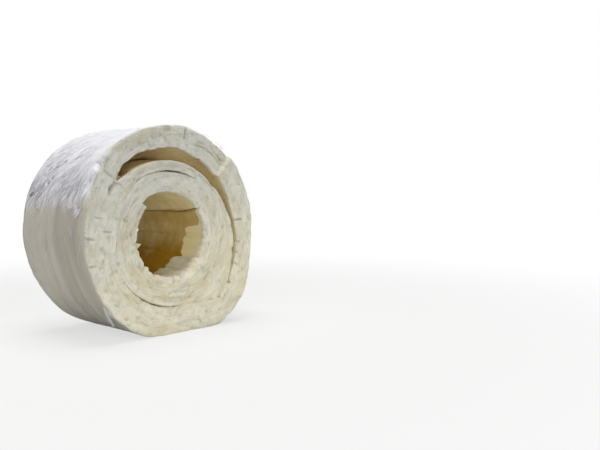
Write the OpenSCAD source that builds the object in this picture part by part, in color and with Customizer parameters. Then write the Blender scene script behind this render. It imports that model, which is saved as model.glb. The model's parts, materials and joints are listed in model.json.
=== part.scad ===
// Roll of ceramic fibre insulation blanket, lying on its side.
// One strip of blanket is wound up on itself. Its outer turn has sprung a little loose,
// so a crescent of air opens under it, and the soft roll has slumped on the floor.
// The roll lies along Y with its front end at -Y, X to the right of that end and Z up.
// Directions round the roll are degrees clockwise from the top, seen from the front end.

/* [Blanket] */
// Thickness of the blanket
blanket_t = 25; // [15:1:40]
// Width of the blanket strip, which is the length of the roll
blanket_w = 150; // [80:5:610]
// Number of full turns from the inner end to the tail
turns = 3; // [2:1:5]
// Soft rounding of the outer turn's cut edges
edge_r = 4; // [2:0.5:7]

/* [Roll] */
// Bore left in the middle of the roll
bore_d = 109; // [60:1:200]
// Height of the crushed inner end of the blanket, where the winding starts
lead_in = 5; // [4:0.5:12]
// How far the bore lies off the middle of the roll
bore_shift = 9; // [0:0.5:12]
// Direction in which it lies off
bore_dir = 213; // [190:1:230]
// Direction of the inner end and of the tail
tail_dir = -53; // [-90:1:-30]

/* [Slump] */
// How far the lower half of the roll has sagged below the round upper half
sag = 10; // [4:0.5:20]
// Width of the flat that the sagged half rests on
flat_w = 97; // [40:1:130]
// Direction of the swell beside the flat
swell_dir = 145; // [135:1:155]
// How far the swell stands out of the round upper outline
swell_out = 17.5; // [12:0.5:22]
// Radius of the swell, as a share of the roll's radius
swell_share = 0.74; // [0.65:0.01:0.8]

/* [Loose outer turn] */
// Widest opening between the loose turn and the turns inside it, at the front end
slack = 16.5; // [14:0.5:20]
// How much of that opening has closed at the back end
slack_fade = 5; // [1:0.5:6]
// Direction of that widest opening
slack_dir = 14; // [0:1:40]
// How much smaller the inner turns' outline is than the hollow of the loose turn
core_ease = 4.5; // [2:0.5:5]
// How much thicker the loose turn has puffed up at its thickest
puff = 8; // [2:0.5:10]
// Direction where it is thickest
puff_dir = 42; // [30:1:60]
// How far its hollow lies off the middle of the roll, away from there
hollow_shift = 16; // [10:0.5:18]
// Opening at the butted tail and at the inner end
end_gap = 2; // [1:0.5:4]
// How far the loose turn stands back from the front end, from the tail onwards
step_back = 5; // [2:0.5:10]
// Direction where the loose turn comes forward again
step_dir = 44; // [30:1:70]

/* [Seam on the ends] */
// Width of the seam between turns, at the end faces
seam_w = 3; // [1:0.5:5]
// Depth of the seam into the end faces
seam_depth = 10; // [4:1:20]
// How far round the seam runs on into the opening under the loose turn
seam_lap = 20; // [0:1:30]

/* [Hidden] */

bore_r = bore_d / 2;
seam_start_r = bore_r + lead_in;
outer_r = seam_start_r + turns * blanket_t;
loose_r = outer_r - blanket_t - puff + hollow_shift;
core_r = loose_r - core_ease;
core_shift = slack - core_ease;
swell_r = swell_share * outer_r;
swell_shift = outer_r + swell_out - swell_r;
axis_z = sag + sqrt(outer_r * outer_r - flat_w * flat_w / 4);
// The loose turn itself is the last half turn, so it has no seam of its own
seam_half_turns = 2 * (turns - 1) - 1;
// Overrun of every cut past the face that it opens
cut_over = 1;
$fn = 96;

// Point at a distance from the roll's axis, in a direction clockwise from the top
function toward(dir, r) = [r * sin(dir), r * cos(dir)];

// Section of a plain roll, from its axis to its soft outer edges
module turned_profile(r) {
    flank_h = blanket_w - 2 * edge_r;
    translate([0, -blanket_w / 2]) square([r - edge_r, blanket_w]);
    translate([0, -flank_h / 2]) square([r, flank_h]);
    for (side = [-1, 1])
        translate([r - edge_r, side * flank_h / 2]) circle(r = edge_r);
}

// The slumped roll: its round upper half, the sagged lower half and the swell beside the flat
module slumped_roll() {
    rotate_extrude() turned_profile(outer_r);
    translate([0, -sag, 0]) rotate_extrude() turned_profile(outer_r);
    translate(toward(swell_dir, swell_shift)) rotate_extrude() turned_profile(swell_r);
}

// Crescent of air under the loose turn, from the tail clockwise: its hollow, less the turns
// that lie inside, which lean towards the opening from front to back
module crescent() {
    intersection() {
        translate(toward(puff_dir, -hollow_shift))
            difference() {
                cylinder(r = loose_r, h = blanket_w + 2 * cut_over, center = true);
                rotate(90 - slack_dir)
                    translate([slack_fade / 2 - core_shift, 0, 0])
                        rotate([0, -atan(slack_fade / blanket_w), 0])
                            cylinder(r = core_r, h = 2 * blanket_w, center = true);
            }
        rotate(90 - tail_dir)
            translate([-2 * outer_r, -2 * outer_r, -blanket_w])
                cube([4 * outer_r, 2 * outer_r, 2 * blanket_w]);
    }
}

// Slit along the roll where an end of the blanket stands off the turn beside it
module end_slit(r_from, r_to) {
    rotate(90 - tail_dir)
        translate([r_from, -end_gap / 2, -blanket_w / 2 - cut_over])
            cube([r_to - r_from, end_gap, blanket_w + 2 * cut_over]);
}

// Quarter of the front end where the loose turn stands back, from the tail clockwise:
// a ring from its hollow to past its outside
module front_step() {
    intersection() {
        translate([0, 0, blanket_w / 2 - step_back])
            difference() {
                cylinder(r = outer_r + cut_over, h = step_back + cut_over);
                translate([0, 0, -cut_over])
                    translate(toward(puff_dir, -hollow_shift))
                        cylinder(r = loose_r - core_ease / 2, h = step_back + 3 * cut_over);
            }
        rotate(90 - step_dir)
            rotate_extrude(angle = step_dir - tail_dir)
                square([2 * outer_r, blanket_w]);
    }
}

// Half turn of the seam on one end face, as a ring of V section, with the inner end of the
// blanket at +X. The seam steps outwards by one thickness in every other half turn.
module seam_half_turn(i) {
    steps = 1 - i % 2;
    seam_r = seam_start_r + (i + 1) * blanket_t / 2;
    lap = i == seam_half_turns - 1 ? seam_lap : 0;
    translate([-steps * blanket_t / 2, 0, 0])
        rotate((1 - steps) * 180)
            rotate_extrude(angle = 180 + lap)
                polygon([
                    [seam_r - seam_w / 2, 0],
                    [seam_r, -seam_depth],
                    [seam_r + seam_w / 2, 0],
                    [seam_r + seam_w / 2, cut_over],
                    [seam_r - seam_w / 2, cut_over]
                ]);
}

// The whole seam, up to where the loose turn lifts off
module seam() {
    rotate(90 - tail_dir)
        for (i = [0 : seam_half_turns - 1]) seam_half_turn(i);
}

// The inner turns' bore, inner end and seams, which lie off the middle of the loose turn
module core_cuts() {
    cylinder(r = bore_r, h = blanket_w + 2 * cut_over, center = true);
    end_slit(bore_r - end_gap, seam_start_r);
    translate([0, 0, blanket_w / 2]) seam();
    mirror([0, 0, 1]) translate([0, 0, blanket_w / 2]) seam();
}

// The roll about the axis of its loose turn, front end up
module wound_roll() {
    difference() {
        slumped_roll();
        crescent();
        translate(toward(bore_dir, bore_shift)) core_cuts();
        end_slit(outer_r - blanket_t, outer_r + cut_over);
        front_step();
    }
}

// The roll laid on its side on the floor
module blanket_roll() {
    color("ivory")
        difference() {
            translate([0, 0, axis_z]) rotate([90, 0, 0]) wound_roll();
            translate([-outer_r, -blanket_w, -2 * outer_r])
                cube([2 * outer_r, 2 * blanket_w, 2 * outer_r]);
        }
}

blanket_roll();
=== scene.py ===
"""Short roll of ceramic fibre blanket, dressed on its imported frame.

The blanket is made as the real one is: one long strip with ragged laminated edges is laid out
flat, and a Geometry Nodes tree winds it up into the roll. Loose fibres are scattered over the
flat strip and go through the same winding. Lengths are metres, directions round the roll are
degrees clockwise from the top, seen from the front end, and winding angles are degrees from
the tail of the strip inwards.
"""

from __future__ import annotations

import json
import logging
import math
from dataclasses import dataclass
from enum import Enum
from typing import ClassVar, Sequence

import bpy
import numpy as np
from mathutils import Matrix, Vector


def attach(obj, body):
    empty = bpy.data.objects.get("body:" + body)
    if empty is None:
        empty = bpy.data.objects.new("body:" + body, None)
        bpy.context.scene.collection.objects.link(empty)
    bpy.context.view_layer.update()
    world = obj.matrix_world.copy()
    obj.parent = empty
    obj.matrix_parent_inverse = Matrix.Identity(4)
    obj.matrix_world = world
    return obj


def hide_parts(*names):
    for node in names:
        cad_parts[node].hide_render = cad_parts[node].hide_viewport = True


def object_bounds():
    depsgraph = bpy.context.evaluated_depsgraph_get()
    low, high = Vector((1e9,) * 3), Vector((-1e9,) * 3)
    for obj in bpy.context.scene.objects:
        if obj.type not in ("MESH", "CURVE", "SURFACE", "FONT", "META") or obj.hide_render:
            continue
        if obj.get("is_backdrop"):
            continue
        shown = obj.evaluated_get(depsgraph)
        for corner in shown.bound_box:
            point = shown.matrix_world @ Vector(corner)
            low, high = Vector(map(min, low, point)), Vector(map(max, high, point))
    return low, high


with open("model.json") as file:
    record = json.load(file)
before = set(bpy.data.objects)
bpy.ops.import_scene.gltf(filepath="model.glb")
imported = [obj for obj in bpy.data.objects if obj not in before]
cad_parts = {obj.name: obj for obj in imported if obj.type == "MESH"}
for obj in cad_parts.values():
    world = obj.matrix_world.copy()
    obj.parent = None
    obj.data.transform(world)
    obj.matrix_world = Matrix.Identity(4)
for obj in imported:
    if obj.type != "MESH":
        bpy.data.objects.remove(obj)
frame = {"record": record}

LOG = logging.getLogger("blanket_roll")
MM = 0.001
FULL_TURN = 360.0
HASH_PRIMES = (73856093, 19349663, 83492791)
SEED_PRIME = 2654435761
MIX_PRIMES = (2246822519, 3266489917)
WORD = 0xFFFFFFFF

Array = np.ndarray
Colour = tuple[float, float, float]
Socket = bpy.types.NodeSocket


class Side(Enum):
    """The long faces of the flat strip, in the order in which its outline meets them."""

    FRONT = 0
    OUTER = 1
    BACK = 2
    INNER = 3


def hashed(cells: Array, seed: int) -> Array:
    """Gives every lattice cell its own fixed value.

    Args:
        cells: Whole-number cell coordinates, one row for each point.
        seed: Picks one of many different lattices.

    Returns:
        A value from -1 to 1 for each row.
    """
    primes = np.array(HASH_PRIMES, dtype=np.int64)
    mixed = (cells * primes[: cells.shape[-1]]).sum(axis=-1) + seed * SEED_PRIME
    mixed = (mixed ^ (mixed >> 15)) * MIX_PRIMES[0] & WORD
    mixed = (mixed ^ (mixed >> 13)) * MIX_PRIMES[1] & WORD
    mixed = mixed ^ (mixed >> 16)
    return mixed / (WORD // 2) - 1.0


def wool_noise(seed: int, *axes: Array) -> Array:
    """Smooth noise over two or three coordinates, all already divided by their grain.

    Args:
        seed: Picks the pattern.
        axes: Coordinate arrays of one shape, or shapes that broadcast.

    Returns:
        Values of about -1 to 1, in the broadcast shape.
    """
    points = np.stack(np.broadcast_arrays(*axes), axis=-1).astype(float)
    cells = np.floor(points).astype(np.int64)
    part = points - cells
    part = part * part * part * (part * (part * 6.0 - 15.0) + 10.0)
    total = np.zeros(points.shape[:-1])
    for corner in np.ndindex(*(2,) * points.shape[-1]):
        step = np.array(corner)
        weight = np.where(step == 1, part, 1.0 - part).prod(axis=-1)
        total += weight * hashed(cells + step, seed)
    return total


def smooth_step(low: float, high: float, value: Array) -> Array:
    """Rises smoothly from 0 at low to 1 at high, or falls where low is the larger."""
    part = np.clip((value - low) / (high - low), 0.0, 1.0)
    return part * part * (3.0 - 2.0 * part)


def bump_at(centre: float, half_width: float, value: Array) -> Array:
    """Is 1 at the centre and falls smoothly to 0 half a width away."""
    part = np.clip(np.abs(value - centre) / half_width, 0.0, 1.0)
    return (1.0 - part * part) ** 2


@dataclass(frozen=True)
class KnotCurve:
    """Smooth curve through given knots that never swings past them."""

    knots: tuple[tuple[float, float], ...]

    @property
    def last(self) -> float:
        """Place of the last knot."""
        return self.knots[-1][0]

    def at(self, where: Array) -> Array:
        """Reads the curve.

        Args:
            where: Positions along the curve, held at its ends outside the knots.

        Returns:
            The curve's values there.
        """
        x, y = np.array(self.knots, dtype=float).T
        span, rise = np.diff(x), np.diff(y)
        slope = rise / span
        lean = np.zeros_like(y)
        same_way = slope[:-1] * slope[1:] > 0
        near, far = 2 * span[1:] + span[:-1], span[1:] + 2 * span[:-1]
        with np.errstate(divide="ignore", invalid="ignore"):
            mean = (near + far) / (near / slope[:-1] + far / slope[1:])
        lean[1:-1] = np.where(same_way, mean, 0.0)
        where = np.clip(where, x[0], x[-1])
        i = np.clip(np.searchsorted(x, where, side="right") - 1, 0, len(span) - 1)
        t = (where - x[i]) / span[i]
        return (
            y[i] * (1 + 2 * t) * (1 - t) ** 2
            + lean[i] * span[i] * t * (1 - t) ** 2
            + y[i + 1] * t * t * (3 - 2 * t)
            + lean[i + 1] * span[i] * t * t * (t - 1)
        )


@dataclass(frozen=True)
class WoolPattern:
    """A pattern of soft noise over two coordinates: its seed, its height and its two grains."""

    seed: int
    height: float
    grain: float
    side_grain: float = 1.0

    def at(self, first: Array, second: Array | float = 0.0) -> Array:
        """Height of the pattern at a place."""
        beside = np.asarray(second) / self.side_grain
        return self.height * wool_noise(self.seed, first / self.grain, beside)


@dataclass(frozen=True)
class Bump:
    """A soft rise round the winding: where it is, how far it reaches and how high it is."""

    centre: float
    half: float
    height: float

    def at(self, angle: Array) -> Array:
        """Height of the rise at a winding angle."""
        return self.height * bump_at(self.centre, self.half, angle)


def risen(base: float, bumps: Sequence[Bump], angle: Array) -> Array:
    """A plain value with soft rises on it, at a winding angle."""
    return base + sum(bump.at(angle) for bump in bumps)


@dataclass(frozen=True)
class Crack:
    """A tear across the cut edge, from the strip's inner skin (0) towards its outer one (1)."""

    angle: float
    across_from: float
    across_to: float
    width: float = 2.2 * MM
    depth: float = 5 * MM
    lean: float = 0.0
    tip_out: ClassVar[float] = 0.08
    tip_in: ClassVar[float] = 0.05

    def opening(self, angle: Array, radius: Array, across: Array) -> Array:
        """How far open the edge is.

        Args:
            angle: Winding angle.
            radius: Radius of the strip's middle there.
            across: Share across the thickness, from the inner skin.

        Returns:
            0 beside the crack, 1 in its middle.
        """
        arc = np.radians(angle - self.angle) * radius
        wander = WoolPattern(int(self.angle), height=0.8 * MM, grain=0.2).at(across)
        wander = wander + self.lean * (across - 0.5)
        start, end = self.across_from, self.across_to
        inside = smooth_step(start - self.tip_out, start + self.tip_in, across)
        inside = inside * smooth_step(end + self.tip_out, end - self.tip_in, across)
        return inside * bump_at(0.0, self.width, arc - wander)


@dataclass(frozen=True)
class Split:
    """A gap between two layers of the cut edge, along part of a turn.

    It lies at a share of the strip's thickness, or by radius at a share of the roll's radius.
    """

    angle_from: float
    angle_to: float
    across: float
    width: float = 1.2 * MM
    depth: float = 4 * MM
    by_radius: bool = False
    taper: ClassVar[float] = 0.4
    thin_from: ClassVar[float] = 7.0
    thin_to: ClassVar[float] = 0.6

    def opening(self, angle: Array, along: Array, off: Array) -> Array:
        """How far open the edge is.

        Args:
            angle: Winding angle.
            along: Length along the strip.
            off: Distance from the split's plain line, outwards.

        Returns:
            0 beside the split, 1 in its middle.
        """
        middle = 0.5 * (self.angle_from + self.angle_to)
        if self.by_radius:
            inside = smooth_step(self.angle_from, self.angle_from + self.thin_from, angle)
            inside = inside * smooth_step(self.angle_to, self.angle_to - self.thin_to, angle)
        else:
            inside = bump_at(middle, 0.5 * (self.angle_to - self.angle_from), angle) ** self.taper
        wander = WoolPattern(int(middle), height=1.5 * MM, grain=22 * MM).at(along)
        return inside * bump_at(0.0, self.width, off + wander)


@dataclass(frozen=True)
class Tear:
    """A ragged furrow in the outer skin, along the roll."""

    angle: float
    behind_from: float
    behind_to: float
    half_width: float = 1.6
    depth: float = 5 * MM
    lean: float = 0.0
    first_seed: ClassVar[int] = 400

    def furrow(self, angle: Array, behind: Array, depth: Array) -> Array:
        """How deep in the tear a point lies.

        Args:
            angle: Winding angle, counted both ways from the tail.
            behind: Share along the roll from the front end.
            depth: The same in metres.

        Returns:
            0 outside the tear, 1 in its middle.
        """
        middle = 0.5 * (self.behind_from + self.behind_to)
        half = 0.5 * (self.behind_to - self.behind_from)
        seed = self.first_seed + int(self.angle * 10)
        wander = WoolPattern(seed, height=1.2, grain=9 * MM).at(depth)
        off = angle - self.angle - self.lean * (behind - middle) / half + wander
        return bump_at(0.0, self.half_width, off) * bump_at(middle, half, behind) ** 0.5


@dataclass(frozen=True)
class Fold:
    """A fold along the bore's wall, with a soft swell on both sides of it."""

    direction: int
    depth: float
    half_width: ClassVar[float] = 5.0
    swell_half: ClassVar[float] = 22.0
    swell_share: ClassVar[float] = 0.35
    first_seed: ClassVar[int] = 13

    def height(self, direction: Array, depth: Array) -> Array:
        """How far the fold moves the wall outwards.

        Args:
            direction: Direction round the roll.
            depth: Distance from the front end.

        Returns:
            The move, negative on the swell.
        """
        seed = self.first_seed + self.direction
        wander = WoolPattern(seed, height=3.0, grain=45 * MM).at(depth)
        off = direction - self.direction - wander
        swell = self.swell_share * bump_at(0.0, self.swell_half, off)
        return self.depth * (bump_at(0.0, self.half_width, off) - swell)


@dataclass(frozen=True)
class CutEdge:
    """Felted relief of one cut edge, with the front end's own tears or without them."""

    seed: int
    torn: bool
    slip: float
    layer_grain: float = 2.1 * MM
    layer_base: float = 0.35
    layer_rises: tuple[Bump, ...] = (Bump(255.0, 60.0, 0.4), Bump(620.0, 80.0, 0.25))
    groove: float = 0.16
    groove_shade: float = 0.6
    layer_height: float = 0.45 * MM
    groove_depth: float = 1.0 * MM
    pit_depth: float = 4.0 * MM
    pit_shade: float = 1.2
    calm: Bump = Bump(FULL_TURN, 5.0, 0.9)

    def pattern(self, step: int, grain: float, side_grain: float, height: float = 1.0) -> WoolPattern:
        """One of the edge's own patterns."""
        return WoolPattern(self.seed + step, height, grain, side_grain)

    def felt(self, angle: Array, along: Array, lies: Array) -> tuple[Array, Array]:
        """Layers, lumps and pits of the edge, calm where the tail drops off.

        Args:
            angle: Winding angle.
            along: Length along the strip.
            lies: Distance from the inner skin.

        Returns:
            How far the edge lies behind its plain form, and the share of painted shade in its grooves
            and pits, 0 to 1.
        """
        warp = self.pattern(0, 35 * MM, 12 * MM, 1.2 * self.layer_grain).at(along, lies)
        layers = self.pattern(1, 40 * MM, self.layer_grain).at(along, lies + warp)
        strong = risen(self.layer_base, self.layer_rises, angle)
        grooves = smooth_step(self.groove, 0.0, np.abs(layers)) * strong
        lumps = self.pattern(2, 10 * MM, 6 * MM, 0.75 * MM).at(along, lies)
        fine = self.pattern(3, 3.5 * MM, 2.4 * MM, 0.35 * MM).at(along, lies)
        pits = np.clip(self.pattern(4, 7 * MM, 4.5 * MM).at(along, lies) - 0.5, 0.0, 0.5)
        deep = self.groove_depth * grooves + self.layer_height * layers + lumps + fine
        deep = deep + self.pit_depth * pits
        # Painted shade: grooves and pits of the edge are darkened.
        dark = self.groove_shade * grooves + self.pit_shade * pits
        calm = 1.0 - self.calm.at(angle)
        return deep * calm, dark * calm


@dataclass(frozen=True)
class Grain:
    """A noise in the strip's own metres: its grain along and beside the strip, and how fine it is."""

    along: float
    beside: float
    detail: float
    shift: float
    slant: float = 0.0
    roughness: ClassVar[float] = 0.6


@dataclass(frozen=True)
class Veil:
    """How a noise turns into a share of colour: none at low, the most at high."""

    low: float
    high: float
    most: float = 1.0


@dataclass(frozen=True)
class WoolFinish:
    """Colours as linear RGB, noises and surface of the blanket."""

    cut_pale: Colour = (0.905, 0.87, 0.70)
    cut_warm: Colour = (0.80, 0.73, 0.51)
    # Deep brown of the cut edges' specks, and painted shade in their tears, grooves, pits and open
    # seams.
    cut_specks_and_shade: Colour = (0.46, 0.39, 0.24)
    cut_dull: Colour = (0.63, 0.61, 0.53)
    # Painted shade: this tint darkens and cools the cut edges towards the top and the left.
    cut_shade: Colour = (0.72, 0.755, 0.85)
    skin_pale: Colour = (0.87, 0.87, 0.90)
    skin_low: Colour = (0.68, 0.632, 0.54)
    skin_grey: Colour = (0.58, 0.57, 0.56)
    # Grey of the torn skin, with painted shade in the tears' furrows.
    skin_torn_and_shade: Colour = (0.42, 0.41, 0.385)
    # Painted shade: lilac grey between the combed locks.
    skin_lock_shade: Colour = (0.60, 0.60, 0.66)
    skin_stain: Colour = (0.52, 0.46, 0.33)
    skin_band: Colour = (0.50, 0.455, 0.37)
    skin_stripe: Colour = (0.76, 0.745, 0.705)
    # Pale yellow of the inner skin, also the painted light near the bore's front end.
    inner_pale_and_lit: Colour = (0.93, 0.84, 0.48)
    # Deep brown of the inner skin, also its painted shade.
    inner_brown_and_shade: Colour = (0.43, 0.235, 0.008)
    # Near-black painted shade along the bore's crease and in the gap where the tail comes down.
    crease: Colour = (0.16, 0.10, 0.03)
    fibre: Colour = (0.90, 0.90, 0.93)
    fibre_grey: Colour = (0.41, 0.41, 0.46)

    layers: Grain = Grain(30 * MM, 2.2 * MM, 3.0, 3.1)
    patches: Grain = Grain(45 * MM, 16 * MM, 2.0, 7.7)
    specks: Grain = Grain(3.5 * MM, 2.5 * MM, 2.0, 11.3)
    streaks: Grain = Grain(85 * MM, 6.5 * MM, 3.0, 17.9)
    clouds: Grain = Grain(70 * MM, 30 * MM, 2.0, 23.3)
    fleece: Grain = Grain(12 * MM, 1.6 * MM, 4.0, 29.1)
    locks: Grain = Grain(55 * MM, 4.2 * MM, 3.0, 37.7, slant=0.5)
    bands: Grain = Grain(300 * MM, 13 * MM, 2.0, 41.3)
    mottle: Grain = Grain(16 * MM, 8 * MM, 3.0, 53.9)

    warm_veil: Veil = Veil(0.40, 0.66)
    layer_veil: Veil = Veil(0.52, 0.72, 0.55)
    dull_veil: Veil = Veil(0.50, 0.68, 0.55)
    speck_veil: Veil = Veil(0.60, 0.75, 0.45)
    grey_veil: Veil = Veil(0.48, 0.70, 0.45)
    cloud_veil: Veil = Veil(0.56, 0.74, 0.55)
    stain_veil: Veil = Veil(0.40, 0.62)
    band_veil: Veil = Veil(0.45, 0.66, 0.55)
    lock_shade_veil: Veil = Veil(0.46, 0.66)
    brown_and_shade_veil: Veil = Veil(0.1, 0.95)
    fleece_veil: Veil = Veil(0.50, 0.72, 0.12)
    tone_veil: Veil = Veil(0.0, 0.8)
    clump_veil: Veil = Veil(0.45, 0.7, 0.4)

    edge_shade_share: float = 0.8
    crease_shade_share: float = 0.85
    lock_shade_base: float = 0.3
    lock_shade_rise: float = 0.6
    tone_base: float = 0.35
    tone_rise: float = 0.65
    brown_spread: float = 0.7
    clean_height: float = 0.25
    dusty_height: float = 0.175
    shade_low: float = 0.02
    shade_high: float = 0.26
    shade_lean: float = 0.35
    zone_wobble: float = 5 * MM
    zone_blur: float = 1 * MM

    roughness: float = 0.95
    specular: float = 0.15
    sheen: float = 0.25
    sheen_roughness: float = 0.6
    bump_height: float = 0.9 * MM
    layer_bump: float = 0.5
    fleece_bump: float = 0.8
    speck_bump: float = 0.4
    combed_grey: float = 0.95
    loose_grey: float = 0.2
    fibre_roughness: float = 0.8
    fibre_specular: float = 0.2
    fibre_bump: float = 0.1 * MM
    fibre_bump_strength: float = 0.5
    clump_scale: float = 160.0
    fibre_scale: float = 2400.0


@dataclass(frozen=True)
class FloorFinish:
    """Pale studio floor that fades into the white background."""

    colour: Colour = (0.76, 0.76, 0.75)
    near_white: float = 0.62
    roughness: float = 0.8
    fade_from: float = 0.35
    fade_to: float = 1.1


class NodePad:
    """Adds and joins nodes in one tree, so that a tree reads as a list of steps."""

    def __init__(self, tree: bpy.types.NodeTree) -> None:
        """Starts on an empty tree."""
        self.tree = tree
        tree.nodes.clear()

    def add(self, kind: str, inputs: dict | None = None, **settings: object) -> bpy.types.Node:
        """Adds a node.

        Args:
            kind: The node's Blender type name.
            inputs: Values or sockets for its inputs, by socket name or number.
            settings: Properties of the node itself.

        Returns:
            The new node.
        """
        node = self.tree.nodes.new(kind)
        for name, value in settings.items():
            setattr(node, name, value)
        for key, value in (inputs or {}).items():
            self.feed(node.inputs[key], value)
        return node

    def feed(self, socket: Socket, value: object) -> None:
        """Joins another socket to this one, or sets its value."""
        if isinstance(value, Socket):
            self.tree.links.new(value, socket)
        else:
            socket.default_value = value

    def math(self, operation: str, *values: object) -> Socket:
        """Adds a Math node and returns its result.

        Args:
            operation: The Math node's operation.
            values: Its numbers or sockets, in order.

        Returns:
            The node's output socket.
        """
        node = self.add("ShaderNodeMath", operation=operation)
        for socket, value in zip(node.inputs, values):
            self.feed(socket, value)
        return node.outputs[0]

    def times(self, first: object, second: object) -> Socket:
        """Product of two numbers."""
        return self.math("MULTIPLY", first, second)

    def plus(self, first: object, second: object) -> Socket:
        """Sum of two numbers."""
        return self.math("ADD", first, second)

    def less(self, first: object, second: object) -> Socket:
        """First number less the second one."""
        return self.math("SUBTRACT", first, second)

    def parts(self, vector: Socket) -> bpy.types.NodeOutputs:
        """Takes a vector apart into X, Y and Z."""
        return self.add("ShaderNodeSeparateXYZ", {0: vector}).outputs

    def vector(self, *parts: object) -> Socket:
        """Puts a vector together from X, Y and Z."""
        return self.add("ShaderNodeCombineXYZ", dict(enumerate(parts))).outputs[0]

    def stored(self, name: str) -> Socket:
        """A number that the points of a geometry tree's mesh carry under a name."""
        node = self.add("GeometryNodeInputNamedAttribute", {"Name": name}, data_type="FLOAT")
        return node.outputs["Attribute"]

    def mark(self, name: str) -> Socket:
        """A number that the mesh under a material carries under a name."""
        return self.add("ShaderNodeAttribute", attribute_name=name).outputs["Fac"]

    def colour_mix(self, share: object, first: object, second: object) -> Socket:
        """Mixes two colours.

        Args:
            share: How much of the second one shows, 0 to 1.
            first: Colour or socket that shows at 0.
            second: Colour or socket that shows at 1.

        Returns:
            The mixed colour's socket.
        """
        node = self.add("ShaderNodeMix", data_type="RGBA")
        numbers = [s for s in node.inputs if s.enabled]
        for socket, value in zip(numbers, (share, first, second)):
            if isinstance(value, tuple):
                value = (*value, 1.0)
            self.feed(socket, value)
        return next(s for s in node.outputs if s.enabled)

    def tint(self, share: object, first: object, second: object) -> Socket:
        """Multiplies a colour by another one, by a share of 0 to 1."""
        mixed = self.colour_mix(share, first, second)
        mixed.node.blend_type = "MULTIPLY"
        return mixed

    def ramp(self, share: object, low: float, high: float) -> Socket:
        """Maps low to 0 and high to 1, clamped and smooth."""
        node = self.add("ShaderNodeMapRange", interpolation_type="SMOOTHSTEP")
        for key, value in (("Value", share), ("From Min", low), ("From Max", high)):
            self.feed(node.inputs[key], value)
        return node.outputs["Result"]

    def veil(self, noise: object, veil: Veil) -> Socket:
        """Turns a noise into a share of colour."""
        return self.times(self.ramp(noise, veil.low, veil.high), veil.most)

    def blend(self, noise: object, veil: Veil, first: object, second: object) -> Socket:
        """Mixes two colours by a noise.

        Args:
            noise: The noise.
            veil: How it turns into the share of the second colour.
            first: Colour or socket that shows where there is none of it.
            second: Colour or socket that shows where there is the most of it.

        Returns:
            The mixed colour's socket.
        """
        return self.colour_mix(self.veil(noise, veil), first, second)

    def dress(self, geometry: Socket, material: Socket) -> None:
        """Ends a geometry tree: gives what it has made its material and hands it out."""
        done = self.add("GeometryNodeSetMaterial", {"Geometry": geometry, "Material": material})
        self.add("NodeGroupOutput", {0: done.outputs[0]})


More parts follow.
